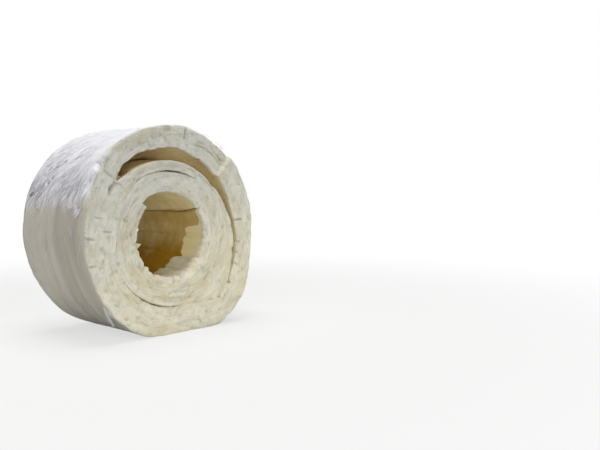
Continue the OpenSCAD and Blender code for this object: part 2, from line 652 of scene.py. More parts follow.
@dataclass
class BlanketStrip:
    """The strip of blanket: its turns, its skins and its ragged cut edges."""

    radius: float
    length: float
    axis_aside: float
    axis_height: float
    half_width_share: ClassVar[float] = 0.9676
    bore_centre: ClassVar[tuple[float, float]] = (-0.05, -0.025)
    axis_rise: ClassVar[float] = 1.5 * MM

    tail_dir: float = -53.0
    turns: int = 3
    thickness: float = 25 * MM
    least_thick: float = 6 * MM
    tail_start: float = 0.4
    station_gap: float = 1.55 * MM
    fine_stations: int = 6000
    front_points: int = 28
    outer_points: int = 30
    back_points: int = 10
    inner_points: int = 18
    even_share: float = 0.45

    floor_blend: float = 5 * MM
    floor_clear: float = 0.3 * MM
    floor_from: float = 0.2
    steepest: float = 0.05
    pressed_from: float = 0.92
    pressed_over: float = 10 * MM
    pressed_share: float = 0.8
    rim_depth: float = 0.13
    lap_from: float = 350.0
    lap_settles: tuple[float, float] = (0.034, 0.062)
    lap_least: float = 0.2
    lap_most: float = 6.0

    bore_radius: float = 0.392
    inner_step: float = 0.058
    step_angle: float = 70.0
    bore_taper: float = 9 * MM
    taper_run: tuple[float, float] = (0.1, 0.9)
    gap_fade_share: float = 0.3
    gap_fade_from: float = 363.0
    gap_waist_share: float = 0.85
    waist_front: tuple[float, float] = (0.03, 0.35)
    waist_back: tuple[float, float] = (1.0, 0.65)
    seam_closed: float = -0.7 * MM
    seam_range: float = 1.7 * MM
    seam_from: float = 176.0
    seam_shade_span: tuple[float, float] = (0.1, 0.8)
    seam_round: float = 0.12 * MM
    seam_round_range: float = 2.2 * MM
    free_round: float = 3.2 * MM
    full_shade_depth: float = 3 * MM

    flake_angle: float = 1031.0
    flake_half: float = 3.0
    flake_reach: float = 6 * MM
    flake_depth: float = 0.05
    flare: Bump = Bump(915.0, 62.0, 8 * MM)
    crease_half: float = 2.4
    crease_depth: float = 4.5 * MM
    fray_base: float = 0.7
    frays: tuple[Bump, ...] = (Bump(1003.0, 16.0, 2.2), Bump(930.0, 50.0, 0.6))
    fray_depth: float = 0.10
    buried_share: float = 0.5

    inner_lumps: WoolPattern = WoolPattern(11, 1.0 * MM, 30 * MM, 50 * MM)
    inner_fray: WoolPattern = WoolPattern(12, 1.0 * MM, 5.5 * MM, 20 * MM)
    outer_waves: WoolPattern = WoolPattern(21, 1.0 * MM, 60 * MM, 45 * MM)
    outer_streaks: WoolPattern = WoolPattern(22, 0.22 * MM, 60 * MM, 9 * MM)
    outer_fray: WoolPattern = WoolPattern(23, 0.7 * MM, 9 * MM, 16 * MM)
    crease_wander: WoolPattern = WoolPattern(71, 0.8, 12 * MM)
    front_edge: CutEdge = CutEdge(31, torn=True, slip=1.0)
    back_edge: CutEdge = CutEdge(51, torn=False, slip=0.4)

    def __post_init__(self) -> None:
        """Sets the strip's curves, and its cracks, tears, splits and folds.

        Radii are shares of the roll's radius, and depths along the roll are millimetres.
        """
        self.rim = KnotCurve((
            (0, 0.88), (0.4, 0.91), (0.7, 0.933), (1.9, 0.977), (2.7, 1.0), (4, 1.016), (8, 1.026),
            (12, 1.024), (29, 1.018), (53, 1.015), (64, 1.015), (72.5, 1.015), (82, 1.01),
            (91, 1.008), (97, 1.012), (108, 0.996), (120, 0.987), (131, 0.984), (146, 0.971),
            (161, 0.993), (173.5, 1.05), (183, 1.08), (193, 1.086), (215, 1.06), (235, 1.03),
            (248.6, 1.0), (256.5, 0.995), (266, 0.989), (276, 0.981), (289, 0.966), (303, 0.953),
            (317, 0.958), (328, 0.955), (339, 0.966), (348, 0.973), (356, 0.985), (358.8, 0.99),
            (359.5, 0.965), (360.3, 0.80), (361, 0.792), (364, 0.783), (367, 0.768), (372, 0.75),
            (382, 0.729), (397, 0.703), (413, 0.681), (427, 0.657), (441, 0.642), (455, 0.633),
            (468, 0.647), (482, 0.659), (494, 0.688), (506, 0.713), (525, 0.756), (537, 0.80),
            (542, 0.820), (554, 0.833),
        ))
        self.flank = KnotCurve((
            (0, 0.95), (0.7, 0.97), (2.5, 0.99), (5, 0.998), (14, 1.0), (29, 1.004), (53, 1.01),
            (70, 1.008), (86, 1.0), (96, 0.99), (108, 0.978), (121, 0.966), (131, 0.961),
            (146, 0.958), (161, 0.972), (173, 1.018), (183, 1.045), (193, 1.056), (215, 1.055),
            (235, 1.025), (252, 0.992), (265, 0.992), (287, 0.974), (303, 0.974), (320, 0.984),
            (333, 0.990), (345, 0.996), (360, 1.0), (363, 1.0), (364.5, 0.985), (365.5, 0.77),
            (376, 0.74), (393, 0.71),
        ))
        self.hollow = KnotCurve((
            (0, 0.83), (0.8, 0.80), (1.5, 0.792), (3, 0.791), (5, 0.803), (8, 0.816), (13, 0.826),
            (20, 0.828), (28, 0.824), (41, 0.806), (55, 0.80), (70, 0.778), (84, 0.760),
            (95, 0.748), (105, 0.730), (112, 0.723), (124, 0.722), (135, 0.733), (146, 0.753),
            (162, 0.788), (174, 0.806), (177, 0.81), (182, 0.822), (194, 0.833), (205, 0.79),
            (215, 0.735), (226, 0.69), (241, 0.694), (255, 0.705), (266, 0.706), (280, 0.710),
            (288, 0.709), (305, 0.69), (323, 0.665), (340, 0.645), (357, 0.632), (366, 0.642),
            (372, 0.646), (386, 0.626), (403.5, 0.590), (421, 0.568), (441, 0.551), (480, 0.54),
            (520, 0.54), (560, 0.545), (600, 0.55), (640, 0.55), (680, 0.53), (700, 0.505),
            (720, 0.478),
        ))
        self.seam_open = KnotCurve((
            (0, 0.6), (176, 0.55), (192, 0.3), (205, 0.4), (217, 0.25), (230, 0.35), (243, 0.6),
            (252, 1.0), (259, 0.9), (272, 0.65), (286, 0.5), (294, 0.25), (304, 0.0), (345, 0.0),
            (362, 0.0), (374, 0.5), (388, 0.7), (401, 0.85), (416, 0.8), (430, 0.6), (444, 0.3),
            (460, 0.05), (520, 0.0), (720, 0.0),
        ))
        self.telescope = KnotCurve((
            (0, -5.0), (40, -5.0), (90, -4.8), (95, -4.6), (96.4, 1.6), (112, 1.4), (140, 0.8),
            (200, 0.8), (260, 1.2), (320, 1.0), (345, 0.7), (385, 0.2), (400, 0.3), (450, 0.0),
            (560, 0.4), (700, 0.6), (760, 0.0), (860, 0.5), (960, 1.2), (1060, 0.5), (1080, 0.0),
        ))
        # Reach of the cut edge's cream into the bore, in millimetres: its rounded lip, and on the lower
        # right a painted pool of light.
        self.lip_and_lit_reach = KnotCurve((
            (720, 3), (900, 2), (905, 3), (908, 30), (915, 43), (931, 50), (950, 45), (970, 25),
            (985, 5), (1080, 3),
        ))
        # Reach of the pale front zone of the bore, in millimetres: a thin paler band all round, and on
        # the lower right a painted pool of light.
        self.pale_and_lit_reach = KnotCurve((
            (720, 4), (846, 5), (853, 9), (857, 33), (863, 37), (881, 39), (900, 36), (907, 33),
            (915, 43.5), (931, 51), (950, 46), (970, 26), (985, 6), (1080, 4),
        ))
        # Browning of the inner skins by winding angle: their own brown, with painted shade added
        # towards the bore's lower left and in the gap by the tail.
        self.browning_and_shade = KnotCurve((
            (0, 0.52), (110, 0.5), (150, 0.2), (356, 0.25), (359, 0.95), (366, 0.95), (382, 0.6),
            (470, 0.5), (520, 0.2), (700, 0.25), (720, 0.36), (818, 0.30), (830, 0.60),
            (870, 0.60), (900, 0.75), (960, 1.1), (1010, 1.15), (1050, 1.0), (1080, 0.5),
        ))
        self.stripes = KnotCurve((
            (0, 0.5), (0.06, 0.6), (0.124, 0.65), (0.217, 0.5), (0.31, 0.85), (0.40, 1.0),
            (0.44, 0.85), (0.48, 0.25), (0.52, 0.0), (0.6, 0.15), (0.7, 0.05), (0.85, 0.15),
            (1.0, 0.1),
        ))
        self.crease_line = KnotCurve((
            (0, 50.4), (29, 55.3), (50, 56.1), (82, 51.0), (110, 49.8), (150, 49.0),
        ))
        self.cracks = (
            Crack(62, 0.50, 1.05, depth=4 * MM, lean=-3 * MM),
            Crack(136, -0.05, 0.45, depth=4 * MM, lean=1 * MM),
            Crack(152, -0.05, 0.22, depth=3 * MM),
            Crack(160, -0.05, 0.16, depth=3 * MM),
            Crack(168, -0.05, 0.2, depth=3 * MM),
            Crack(182.3, -0.05, 0.13, width=3.2 * MM, depth=14 * MM),
            Crack(194.3, -0.05, 0.12, width=3.4 * MM, depth=12 * MM),
            Crack(307, 0.74, 0.97, width=1.7 * MM, depth=3 * MM, lean=5 * MM),
            Crack(321, 0.72, 0.97, width=1.8 * MM, depth=3 * MM, lean=7 * MM),
            Crack(327, 0.18, 0.44, width=1.4 * MM, depth=2 * MM, lean=5 * MM),
            Crack(335, 0.52, 0.72, width=1.4 * MM, depth=1.5 * MM, lean=-3 * MM),
            Crack(697, 0.3, 0.62, depth=1.5 * MM, lean=4 * MM),
            Crack(958, 0.0, 0.42, depth=2 * MM, lean=3 * MM),
        )
        self.tears = (
            Tear(4.5, 0.85, 1.01, half_width=4.5, depth=3 * MM),
            Tear(0.3, 0.70, 0.84, half_width=1.7, depth=5 * MM, lean=-1.8),
            Tear(-8.5, 0.67, 0.75, half_width=1.7, depth=2.5 * MM, lean=-1.0),
            Tear(4.8, 0.60, 0.68, half_width=1.3, depth=2 * MM, lean=-1.0),
            Tear(-16.0, 0.90, 1.02, half_width=1.8, depth=3 * MM),
        )
        self.splits = (
            Split(66, 99, 0.50, width=1.5 * MM, depth=5 * MM),
            Split(80, 97, 0.72, depth=4 * MM),
            Split(14, 44, 0.30, width=0.9 * MM, depth=1.5 * MM),
            Split(348, 359.4, 0.803, width=2.6 * MM, depth=12 * MM, by_radius=True),
            Split(222, 286, 0.38, depth=1.1 * MM),
            Split(205, 268, 0.66, depth=0.9 * MM),
            Split(560, 640, 0.5, width=1.0 * MM, depth=1.5 * MM),
        )
        self.folds = (
            Fold(98, 2.6 * MM),
            Fold(132, 3.2 * MM),
            Fold(172, 3.0 * MM),
            Fold(214, 3.6 * MM),
            Fold(262, 3.0 * MM),
            Fold(352, 2.4 * MM),
        )

    @classmethod
    def on_frame(cls, low: Vector, high: Vector, bore: Sequence[float]) -> BlanketStrip:
        """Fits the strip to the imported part.

        Args:
            low: Lowest corner of the part's box.
            high: Highest corner of the part's box.
            bore: Middle of its bore.

        Returns:
            The strip, wound about the same bore and as wide as the part.
        """
        radius = 0.5 * (high.x - low.x) / cls.half_width_share
        cx, cz = cls.bore_centre
        return cls(radius, high.y - low.y, bore[0] - cx * radius, bore[2] - cz * radius + cls.axis_rise)

    @property
    def end_angle(self) -> float:
        """Winding angle of the strip's inner end."""
        return self.turns * FULL_TURN

    @property
    def bore_from(self) -> float:
        """Winding angle from which the strip's inner skin is the bore's wall."""
        return self.end_angle - FULL_TURN

    @property
    def gap_end(self) -> float:
        """Winding angle at which the loose turn comes down on the turn under it."""
        return self.rim.last - FULL_TURN

    def direction(self, angle: Array) -> Array:
        """Direction round the roll of a winding angle, in radians."""
        return np.radians(self.tail_dir + angle)

    def bore_share(self, angle: Array) -> Array:
        """Distance of the bore's wall from the roll's axis, in shares of the radius."""
        turn = self.direction(angle)
        cx, cz = self.bore_centre
        along = cx * np.sin(turn) + cz * np.cos(turn)
        aside = cx * np.cos(turn) - cz * np.sin(turn)
        wall = along + np.sqrt(self.bore_radius**2 - aside**2)
        step = smooth_step(self.bore_from + self.step_angle, self.bore_from, angle)
        return wall + self.inner_step * step

    def inner_line(self, angle: Array) -> Array:
        """Radius of the strip's inner skin at a winding angle, before any relief."""
        share = np.where(angle < self.bore_from, self.hollow.at(angle), self.bore_share(angle))
        return share * self.radius

    def lap_settled(self, behind: Array | float) -> Array:
        """How far the skin under the tail has settled from its torn rim, 0 to 1."""
        return smooth_step(*self.lap_settles, behind)

    def outer_line(self, angle: Array, behind: Array | float = 0.0) -> Array:
        """Radius of the strip's outer skin, before any relief.

        Args:
            angle: Winding angle.
            behind: Share along the roll from the front end, as the torn rim is only there.

        Returns:
            The radius.
        """
        rim, flank = self.rim.at(angle), self.flank.at(angle)
        slow = smooth_step(0.0, self.rim_depth, behind)
        settled = np.where(angle < self.lap_from, slow, self.lap_settled(behind))
        settled = settled * (angle < self.flank.last)
        under = self.hollow.at(angle - FULL_TURN)
        plain = np.where(angle < self.rim.last, rim + (flank - rim) * settled, under) * self.radius
        down = -np.cos(self.direction(angle))
        floor = self.axis_height / np.maximum(down, self.steepest)
        meet = np.clip(0.5 + 0.5 * (floor - plain) / self.floor_blend, 0.0, 1.0)
        eased = floor + (plain - floor) * meet - self.floor_blend * meet * (1.0 - meet)
        return np.where((down > self.floor_from) & (angle < FULL_TURN), eased, plain)

    def above_floor(self, angle: Array, reach: Array) -> Array:
        """Shortens a radius so that it ends just above the floor."""
        down = -np.cos(self.direction(angle))
        floor = self.axis_height / np.maximum(down, self.steepest) - self.floor_clear
        return np.where(down > self.steepest, np.minimum(reach, floor), reach)

    def crescent(self, angle: Array) -> Array:
        """Width of the gap under the loose turn at the front end, zero where the turns touch."""
        return np.clip(self.inner_line(angle) - self.outer_line(angle + FULL_TURN), 0.0, None)

    def waist(self, behind: Array) -> Array:
        """Share of that gap by which the loose turn sags into it, between the roll's ends."""
        between = smooth_step(*self.waist_front, behind) * smooth_step(*self.waist_back, behind)
        return self.gap_waist_share * between

    def stations(self) -> tuple[Array, Array]:
        """Spreads the stations of the mesh evenly along the strip.

        Returns:
            The winding angle and the length along the strip of every station.
        """
        fine = np.linspace(self.tail_start, self.end_angle, self.fine_stations)
        middle = 0.5 * (self.inner_line(fine) + self.outer_line(fine))
        run = np.concatenate(([0.0], np.cumsum(np.radians(np.diff(fine)) * middle[:-1])))
        count = int(run[-1] / self.station_gap)
        along = np.linspace(0.0, run[-1], count)
        return np.interp(along, run, fine), along

    def outline(self) -> tuple[Array, Array, Array]:
        """Lays out the points round the strip's section.

        Returns:
            The side of each point as a number, its share across the thickness from the inner
            skin, and its share along the roll from the front end.
        """
        counts = {
            Side.FRONT: self.front_points,
            Side.OUTER: self.outer_points,
            Side.BACK: self.back_points,
            Side.INNER: self.inner_points,
        }
        sides, across, behind = [], [], []
        for side, count in counts.items():
            even = np.arange(count) / count
            eased = 0.5 - 0.5 * np.cos(np.pi * even)
            part = self.even_share * even + (1.0 - self.even_share) * eased
            sides.append(np.full(count, side.value))
            across.append({
                Side.FRONT: part, Side.OUTER: np.ones(count),
                Side.BACK: 1.0 - part, Side.INNER: np.zeros(count),
            }[side])
            behind.append({
                Side.FRONT: np.zeros(count), Side.OUTER: part,
                Side.BACK: np.ones(count), Side.INNER: 1.0 - part,
            }[side])
        return np.concatenate(sides), np.concatenate(across), np.concatenate(behind)

    def seam_gap(self, angle: Array) -> Array:
        """Half the opening between two turns, at the angle of the outer one of them."""
        return self.seam_closed + self.seam_range * self.seam_open.at(angle)

    def inner_skin(self, angle: Array, along: Array, behind: Array) -> Array:
        """Radius of the inner skin with its folds.

        Args:
            angle: Winding angle.
            along: Length along the strip.
            behind: Share along the roll from the front end.

        Returns:
            The radius.
        """
        depth = behind * self.length
        narrowed = self.bore_taper * smooth_step(*self.taper_run, behind)
        opened = np.where(angle < self.bore_from, self.seam_gap(angle), -narrowed)
        sagged = np.where(angle < self.gap_end, self.waist(behind) * self.crescent(angle), 0.0)
        flake = self.flake_reach * bump_at(self.flake_angle, self.flake_half, angle)
        flake = flake * smooth_step(self.flake_depth, 0.0, behind)
        ragged = risen(self.fray_base, self.frays, angle) * self.inner_fray.at(along, depth)
        relief = self.inner_lumps.at(along, depth) - flake + ragged
        bore_dir = angle - self.bore_from + self.tail_dir
        for fold in self.folds:
            relief = relief + fold.height(bore_dir, depth)
        relief = relief + self.crease_depth * self.crease(angle, depth)
        return self.inner_line(angle) + opened - sagged + relief

    def crease(self, angle: Array, depth: Array) -> Array:
        """How deep a point of the bore's wall lies in its long dark crease, 0 to 1."""
        at = self.bore_from - self.tail_dir + self.crease_line.at(depth / MM)
        return bump_at(0.0, self.crease_half, angle - at - self.crease_wander.at(depth))

    def outer_skin(self, angle: Array, along: Array, behind: Array) -> Array:
        """Radius of the outer skin with its soft waves and the torn tail.

        Args:
            angle: Winding angle.
            along: Length along the strip.
            behind: Share along the roll from the front end.

        Returns:
            The radius.
        """
        depth = behind * self.length
        plain = self.outer_line(angle, behind)
        inside = angle > self.rim.last
        plain = plain - np.where(inside, self.seam_gap(angle - FULL_TURN), 0.0)
        in_gap = (angle > self.gap_fade_from) & (angle < self.rim.last)
        faded = self.gap_fade_share * behind * self.crescent(angle - FULL_TURN)
        plain = plain + np.where(in_gap, faded, 0.0)
        relief = self.outer_waves.at(along, depth) + self.outer_streaks.at(along, depth)
        relief = relief + self.outer_fray.at(along, depth) * smooth_step(self.fray_depth, 0.0, behind)
        for tear, furrow in zip(self.tears, self.furrows(angle, behind)):
            relief = relief - tear.depth * furrow
        low = -plain * np.cos(self.direction(angle)) - self.pressed_from * self.axis_height
        free = 1.0 - self.pressed_share * np.clip(low / self.pressed_over, 0.0, 1.0)
        return plain + relief * np.where(angle < FULL_TURN, free, self.buried_share)

    def furrows(self, angle: Array, behind: Array) -> list[Array]:
        """How deep in each tear of the outer skin a point lies.

        Args:
            angle: Winding angle, on the loose turn or on what shows under its tail.
            behind: Share along the roll from the front end.

        Returns:
            For each tear, 0 outside it and 1 in its middle.
        """
        half_turn = 0.5 * FULL_TURN
        from_tail = np.mod(angle + half_turn, FULL_TURN) - half_turn
        near = np.where(angle < FULL_TURN + self.lap_most, from_tail, FULL_TURN)
        return [tear.furrow(near, behind, behind * self.length) for tear in self.tears]

    def worn(self, angle: Array, behind: Array) -> Array:
        """How deep a point of the outer skin lies in any of its tears, 0 to 1."""
        return np.maximum.reduce(self.furrows(angle, behind))

    def edge_round(self, angle: Array, outer: bool) -> Array:
        """Radius of the soft rounding along one rim of the cut edge."""
        opened = self.seam_open.at(angle - FULL_TURN if outer else angle)
        seam = self.seam_round + self.seam_round_range * opened
        if outer:
            return np.where(angle < FULL_TURN, self.free_round, seam)
        return np.where(angle > self.bore_from, self.free_round + self.flare.at(angle), seam)

    def seam_shade(self, angle: Array, outer: bool) -> Array:
        """Share of painted shade on the rim of the cut edge where it goes into an open seam, 0 to 1."""
        over = angle - FULL_TURN if outer else angle
        touching = (over > self.seam_from) & (over < self.bore_from)
        return np.where(touching, self.seam_open.at(over), 0.0)

    def edge_recess(
        self, angle: Array, along: Array, across: Array, edge: CutEdge
    ) -> tuple[Array, Array]:
        """Shape of a cut edge.

        Args:
            angle: Winding angle.
            along: Length along the strip.
            across: Share across the thickness, from the inner skin.
            edge: The edge's relief.

        Returns:
            How far the edge lies behind the plain end, and the share of painted shade in its tears,
            grooves, pits and open seams, 0 to 1.
        """
        inner, outer = self.inner_line(angle), self.outer_line(angle)
        thick = np.maximum(outer - inner, self.least_thick)
        lies = across * thick
        felt, tear = edge.felt(angle, along, lies)
        recess = felt - self.telescope.at(angle) * MM * edge.slip
        for to_rim, at_outer in (((1.0 - across) * thick, True), (lies, False)):
            soft = self.edge_round(angle, at_outer)
            part = np.clip(1.0 - to_rim / soft, 0.0, 1.0)
            recess = recess + soft * (1.0 - np.sqrt(1.0 - part * part))
            shade = smooth_step(*self.seam_shade_span, part) * self.seam_shade(angle, at_outer)
            tear = np.maximum(tear, shade)
        if not edge.torn:
            return recess, np.clip(tear, 0.0, 1.0)
        for crack in self.cracks:
            open_by = crack.opening(angle, 0.5 * (outer + inner), across)
            recess = recess + crack.depth * open_by
            tear = np.maximum(tear, open_by)
        for split in self.splits:
            runs = split.across * self.radius - inner if split.by_radius else split.across * thick
            open_by = split.opening(angle, along, lies - runs)
            recess = recess + split.depth * open_by
            tear = np.maximum(tear, min(split.depth / self.full_shade_depth, 1.0) * open_by)
        return recess, np.clip(tear, 0.0, 1.0)

    def surface(
        self, angle: Array, along: Array, across: Array, behind: Array
    ) -> tuple[Array, Array, Array]:
        """Finds points on the strip's skins and edges.

        Args:
            angle: Winding angle.
            along: Length along the strip.
            across: Share across the thickness, from the inner skin.
            behind: Share along the roll, from the front end.

        Returns:
            Radius, place along the roll's axis, and the share of painted shade on the cut edge.
        """
        inner = self.inner_skin(angle, along, behind)
        outer = self.outer_skin(angle, along, behind)
        reach = inner + (outer - inner) * across
        front, front_shade = self.edge_recess(angle, along, across, self.front_edge)
        back, back_shade = self.edge_recess(angle, along, across, self.back_edge)
        near, far = front - 0.5 * self.length, 0.5 * self.length - back
        return reach, near + (far - near) * behind, np.where(behind < 0.5, front_shade, back_shade)


def geometry_tree(name: str, inputs: dict[str, str], output: str) -> NodePad:
    """Starts a Geometry Nodes tree.

    Args:
        name: The tree's name.
        inputs: Socket kind of every input by its name.
        output: Name of the geometry that comes out.

    Returns:
        A pad on the empty tree.
    """
    tree = bpy.data.node_groups.new(name, "GeometryNodeTree")
    for label, kind in inputs.items():
        tree.interface.new_socket(label, in_out="INPUT", socket_type="NodeSocket" + kind)
    tree.interface.new_socket(output, in_out="OUTPUT", socket_type="NodeSocketGeometry")
    return NodePad(tree)


@dataclass
class WindingTree:
    """Geometry Nodes tree that winds a flat strip, or fibres on it, into the roll."""

    strip: BlanketStrip
    name: str = "wind_strip"
    angle_attribute: str = "unwind"
    radius_attribute: str = "reach"

    def build(self) -> bpy.types.NodeTree:
        """Makes the tree, with the roll's axis, tail direction and finish as inputs."""
        numbers = dict.fromkeys(("Axis aside", "Axis height", "Tail direction"), "Float")
        pad = geometry_tree(self.name, {"Strip": "Geometry", **numbers, "Finish": "Material"}, "Roll")
        given = pad.add("NodeGroupInput").outputs
        angle, reach = pad.stored(self.angle_attribute), pad.stored(self.radius_attribute)
        flat = pad.parts(pad.add("GeometryNodeInputPosition").outputs[0])
        turned = pad.math("RADIANS", pad.plus(angle, given["Tail direction"]))
        aside = pad.math("MULTIPLY_ADD", reach, pad.math("SINE", turned), given["Axis aside"])
        height = pad.math("MULTIPLY_ADD", reach, pad.math("COSINE", turned), given["Axis height"])
        moved = pad.add("GeometryNodeSetPosition", {
            "Geometry": given["Strip"], "Position": pad.vector(aside, flat["Y"], height),
        })
        real = pad.add("GeometryNodeRealizeInstances", {"Geometry": moved.outputs[0]})
        pad.dress(real.outputs[0], given["Finish"])
        return pad.tree

    def wind(
        self, flat: bpy.types.Object, tree: bpy.types.NodeTree, finish: bpy.types.Material
    ) -> bpy.types.Object:
        """Winds a flat object.

        Args:
            flat: Mesh with the tree's two attributes, laid out along its own Y.
            tree: The winding tree.
            finish: Material of the wound piece.

        Returns:
            The same object with the wound shape as its plain mesh.
        """
        values = {
            "Axis aside": self.strip.axis_aside, "Axis height": self.strip.axis_height,
            "Tail direction": self.strip.tail_dir, "Finish": finish,
        }
        return run_tree(flat, tree, values)


def run_tree(
    obj: bpy.types.Object, tree: bpy.types.NodeTree, values: dict[str, object]
) -> bpy.types.Object:
    """Runs a tree on an object and keeps the result as a plain mesh.

    Args:
        obj: The object to run it on.
        tree: Its Geometry Nodes tree.
        values: The tree's inputs by name.

    Returns:
        The same object, with no modifier left on it.
    """
    modifier = obj.modifiers.new(tree.name, "NODES")
    modifier.node_group = tree
    for item in tree.interface.items_tree:
        if item.item_type == "SOCKET" and item.in_out == "INPUT" and item.name in values:
            modifier[item.identifier] = values[item.name]
    graph = bpy.context.evaluated_depsgraph_get()
    done = bpy.data.meshes.new_from_object(obj.evaluated_get(graph), depsgraph=graph)
    old = obj.data
    obj.modifiers.remove(modifier)
    obj.data = done
    bpy.data.meshes.remove(old)
    done.name = obj.name
    return obj


def set_attribute(mesh: bpy.types.Mesh, name: str, values: Array) -> None:
    """Stores one number for each vertex of a mesh under a name."""
    layer = mesh.attributes.new(name, "FLOAT", "POINT")
    layer.data.foreach_set("value", np.ascontiguousarray(values, dtype=np.float32).ravel())


def new_object(name: str, mesh: bpy.types.Mesh) -> bpy.types.Object:
    """Puts a mesh into the scene at the origin."""
    obj = bpy.data.objects.new(name, mesh)
    bpy.context.collection.objects.link(obj)
    return obj


class WoolShader:
    """The blanket's finish as a node tree: cut edges, outer skin and browned inner skin."""

    def __init__(self, look: WoolFinish, length: float) -> None:
        """Starts the material with the noises that several of its parts share.

        Args:
            look: Colours and noises of the finish.
            length: Length of the roll.
        """
        self.look = look
        self.length = length
        self.made = bpy.data.materials.new("fibre_blanket")
        self.made.use_nodes = True
        self.pad = NodePad(self.made.node_tree)
        self.strip_map = self.pad.add("ShaderNodeUVMap", uv_map="strip_map").outputs["UV"]
        self.layers = self.noise(look.layers)
        self.specks = self.noise(look.specks)
        self.streaks = self.noise(look.streaks)
        self.clouds = self.noise(look.clouds)
        self.fleece = self.noise(look.fleece)
        self.spot = self.pad.parts(self.pad.add("ShaderNodeTexCoord").outputs["Object"])
        self.dusty = self.pad.ramp(self.spot["Z"], look.clean_height, look.dusty_height)

    def noise(self, grain: Grain) -> Socket:
        """Noise in the strip's own metres, with a grain along and across it or on a slant."""
        turned = self.pad.add("ShaderNodeMapping", {
            "Vector": self.strip_map, "Rotation": (0.0, 0.0, grain.slant),
        })
        scaled = self.pad.add("ShaderNodeMapping", {
            "Vector": turned.outputs[0], "Scale": (1 / grain.along, 1 / grain.beside, 1.0),
            "Location": (grain.shift, grain.shift, grain.shift),
        })
        noise = self.pad.add("ShaderNodeTexNoise", {
            "Vector": scaled.outputs[0], "Scale": 1.0,
            "Detail": grain.detail, "Roughness": grain.roughness,
        })
        return noise.outputs["Fac"]

    def edge(self) -> Socket:
        """Colour of the cut edges: cream layers with dull and dark spots and painted shade in their
        tears, grooves and pits, with painted shade that makes them darker and cooler higher up and to
        the left.
        """
        look, pad = self.look, self.pad
        colour = pad.blend(self.noise(look.patches), look.warm_veil, look.cut_pale, look.cut_warm)
        colour = pad.blend(self.layers, look.layer_veil, colour, look.cut_warm)
        colour = pad.blend(self.noise(look.mottle), look.dull_veil, colour, look.cut_dull)
        colour = pad.blend(self.specks, look.speck_veil, colour, look.cut_specks_and_shade)
        # Painted shade: the tear mark darkens the cut edges in tears, grooves, pits and open seams.
        torn = pad.times(pad.mark("tear"), look.edge_shade_share)
        colour = pad.colour_mix(torn, colour, look.cut_specks_and_shade)
        # Painted shade: the cut edges grow darker and cooler higher up and further left.
        painted_shade_height = pad.math("MULTIPLY_ADD", self.spot["X"], -look.shade_lean, self.spot["Z"])
        return pad.tint(pad.ramp(painted_shade_height, look.shade_low, look.shade_high), colour, look.cut_shade)

    def skin(self) -> Socket:
        """Colour of the outer skin: white and combed under the tail with painted shade between its
        locks, dusty and banded lower down, and darker in the tears with painted shade and the torn
        skin's own grey.
        """
        look, pad = self.look, self.pad
        low = pad.colour_mix(self.dusty, look.skin_pale, look.skin_low)
        low = pad.blend(self.streaks, look.grey_veil, low, look.skin_grey)
        streaked = pad.veil(self.streaks, look.stain_veil)
        stain = pad.times(pad.veil(self.clouds, look.cloud_veil), streaked)
        low = pad.colour_mix(stain, low, look.skin_stain)
        low = pad.blend(self.noise(look.bands), look.band_veil, low, look.skin_band)
        low = pad.tint(pad.mark("stripe"), low, look.skin_stripe)
        # Painted shade between the combed locks, deeper lower down.
        lock_shade_depth = pad.math("MULTIPLY_ADD", self.dusty, look.lock_shade_rise, look.lock_shade_base)
        locks = pad.times(pad.veil(self.noise(look.locks), look.lock_shade_veil), lock_shade_depth)
        white = pad.colour_mix(locks, look.skin_pale, look.skin_lock_shade)
        skin = pad.colour_mix(pad.mark("combed"), low, white)
        # Darker in the tears: painted shade in their furrows, with the torn skin's own grey.
        return pad.colour_mix(pad.mark("worn"), skin, look.skin_torn_and_shade)

    def within(self, mark: str) -> Socket:
        """Is 1 in front of the depth that a mark gives, with a soft ragged border."""
        pad, blur = self.pad, self.look.zone_blur
        depth = pad.times(pad.mark("behind"), self.length)
        wobble = pad.times(pad.less(self.fleece, 0.5), self.look.zone_wobble)
        return pad.ramp(pad.plus(pad.less(pad.mark(mark), depth), wobble), -blur, blur)

    def bore(self) -> Socket:
        """Colour of the inner skin: browned, browner to the lower left as painted shade, with a paler
        zone near the front end that is partly painted light, and the dark painted shade of the crease.
        """
        look, pad = self.look, self.pad
        clouded = pad.times(pad.less(self.clouds, 0.5), look.brown_spread)
        browned_and_shaded = pad.plus(pad.mark("brown"), clouded)
        # Brown of the inner skin, deeper to the lower left of the bore as painted shade.
        colour = pad.blend(browned_and_shaded, look.brown_and_shade_veil, look.inner_pale_and_lit, look.inner_brown_and_shade)
        # Painted light: pale near the front end, widest on the lower right where the lamp's light
        # falls.
        colour = pad.colour_mix(self.within("pale_to"), colour, look.inner_pale_and_lit)
        colour = pad.blend(self.fleece, look.fleece_veil, colour, look.inner_pale_and_lit)
        # Painted shade: near black along the bore's crease and in the gap under the tail.
        return pad.colour_mix(pad.times(pad.mark("crease"), look.crease_shade_share), colour, look.crease)

    def build(self) -> bpy.types.Material:
        """Joins the three colours and the woolly surface."""
        look, pad = self.look, self.pad
        # Share of the bore's browns: their own brown, and painted shade in the gap between the turns.
        brown_and_shade_share = pad.mark("hot_face")
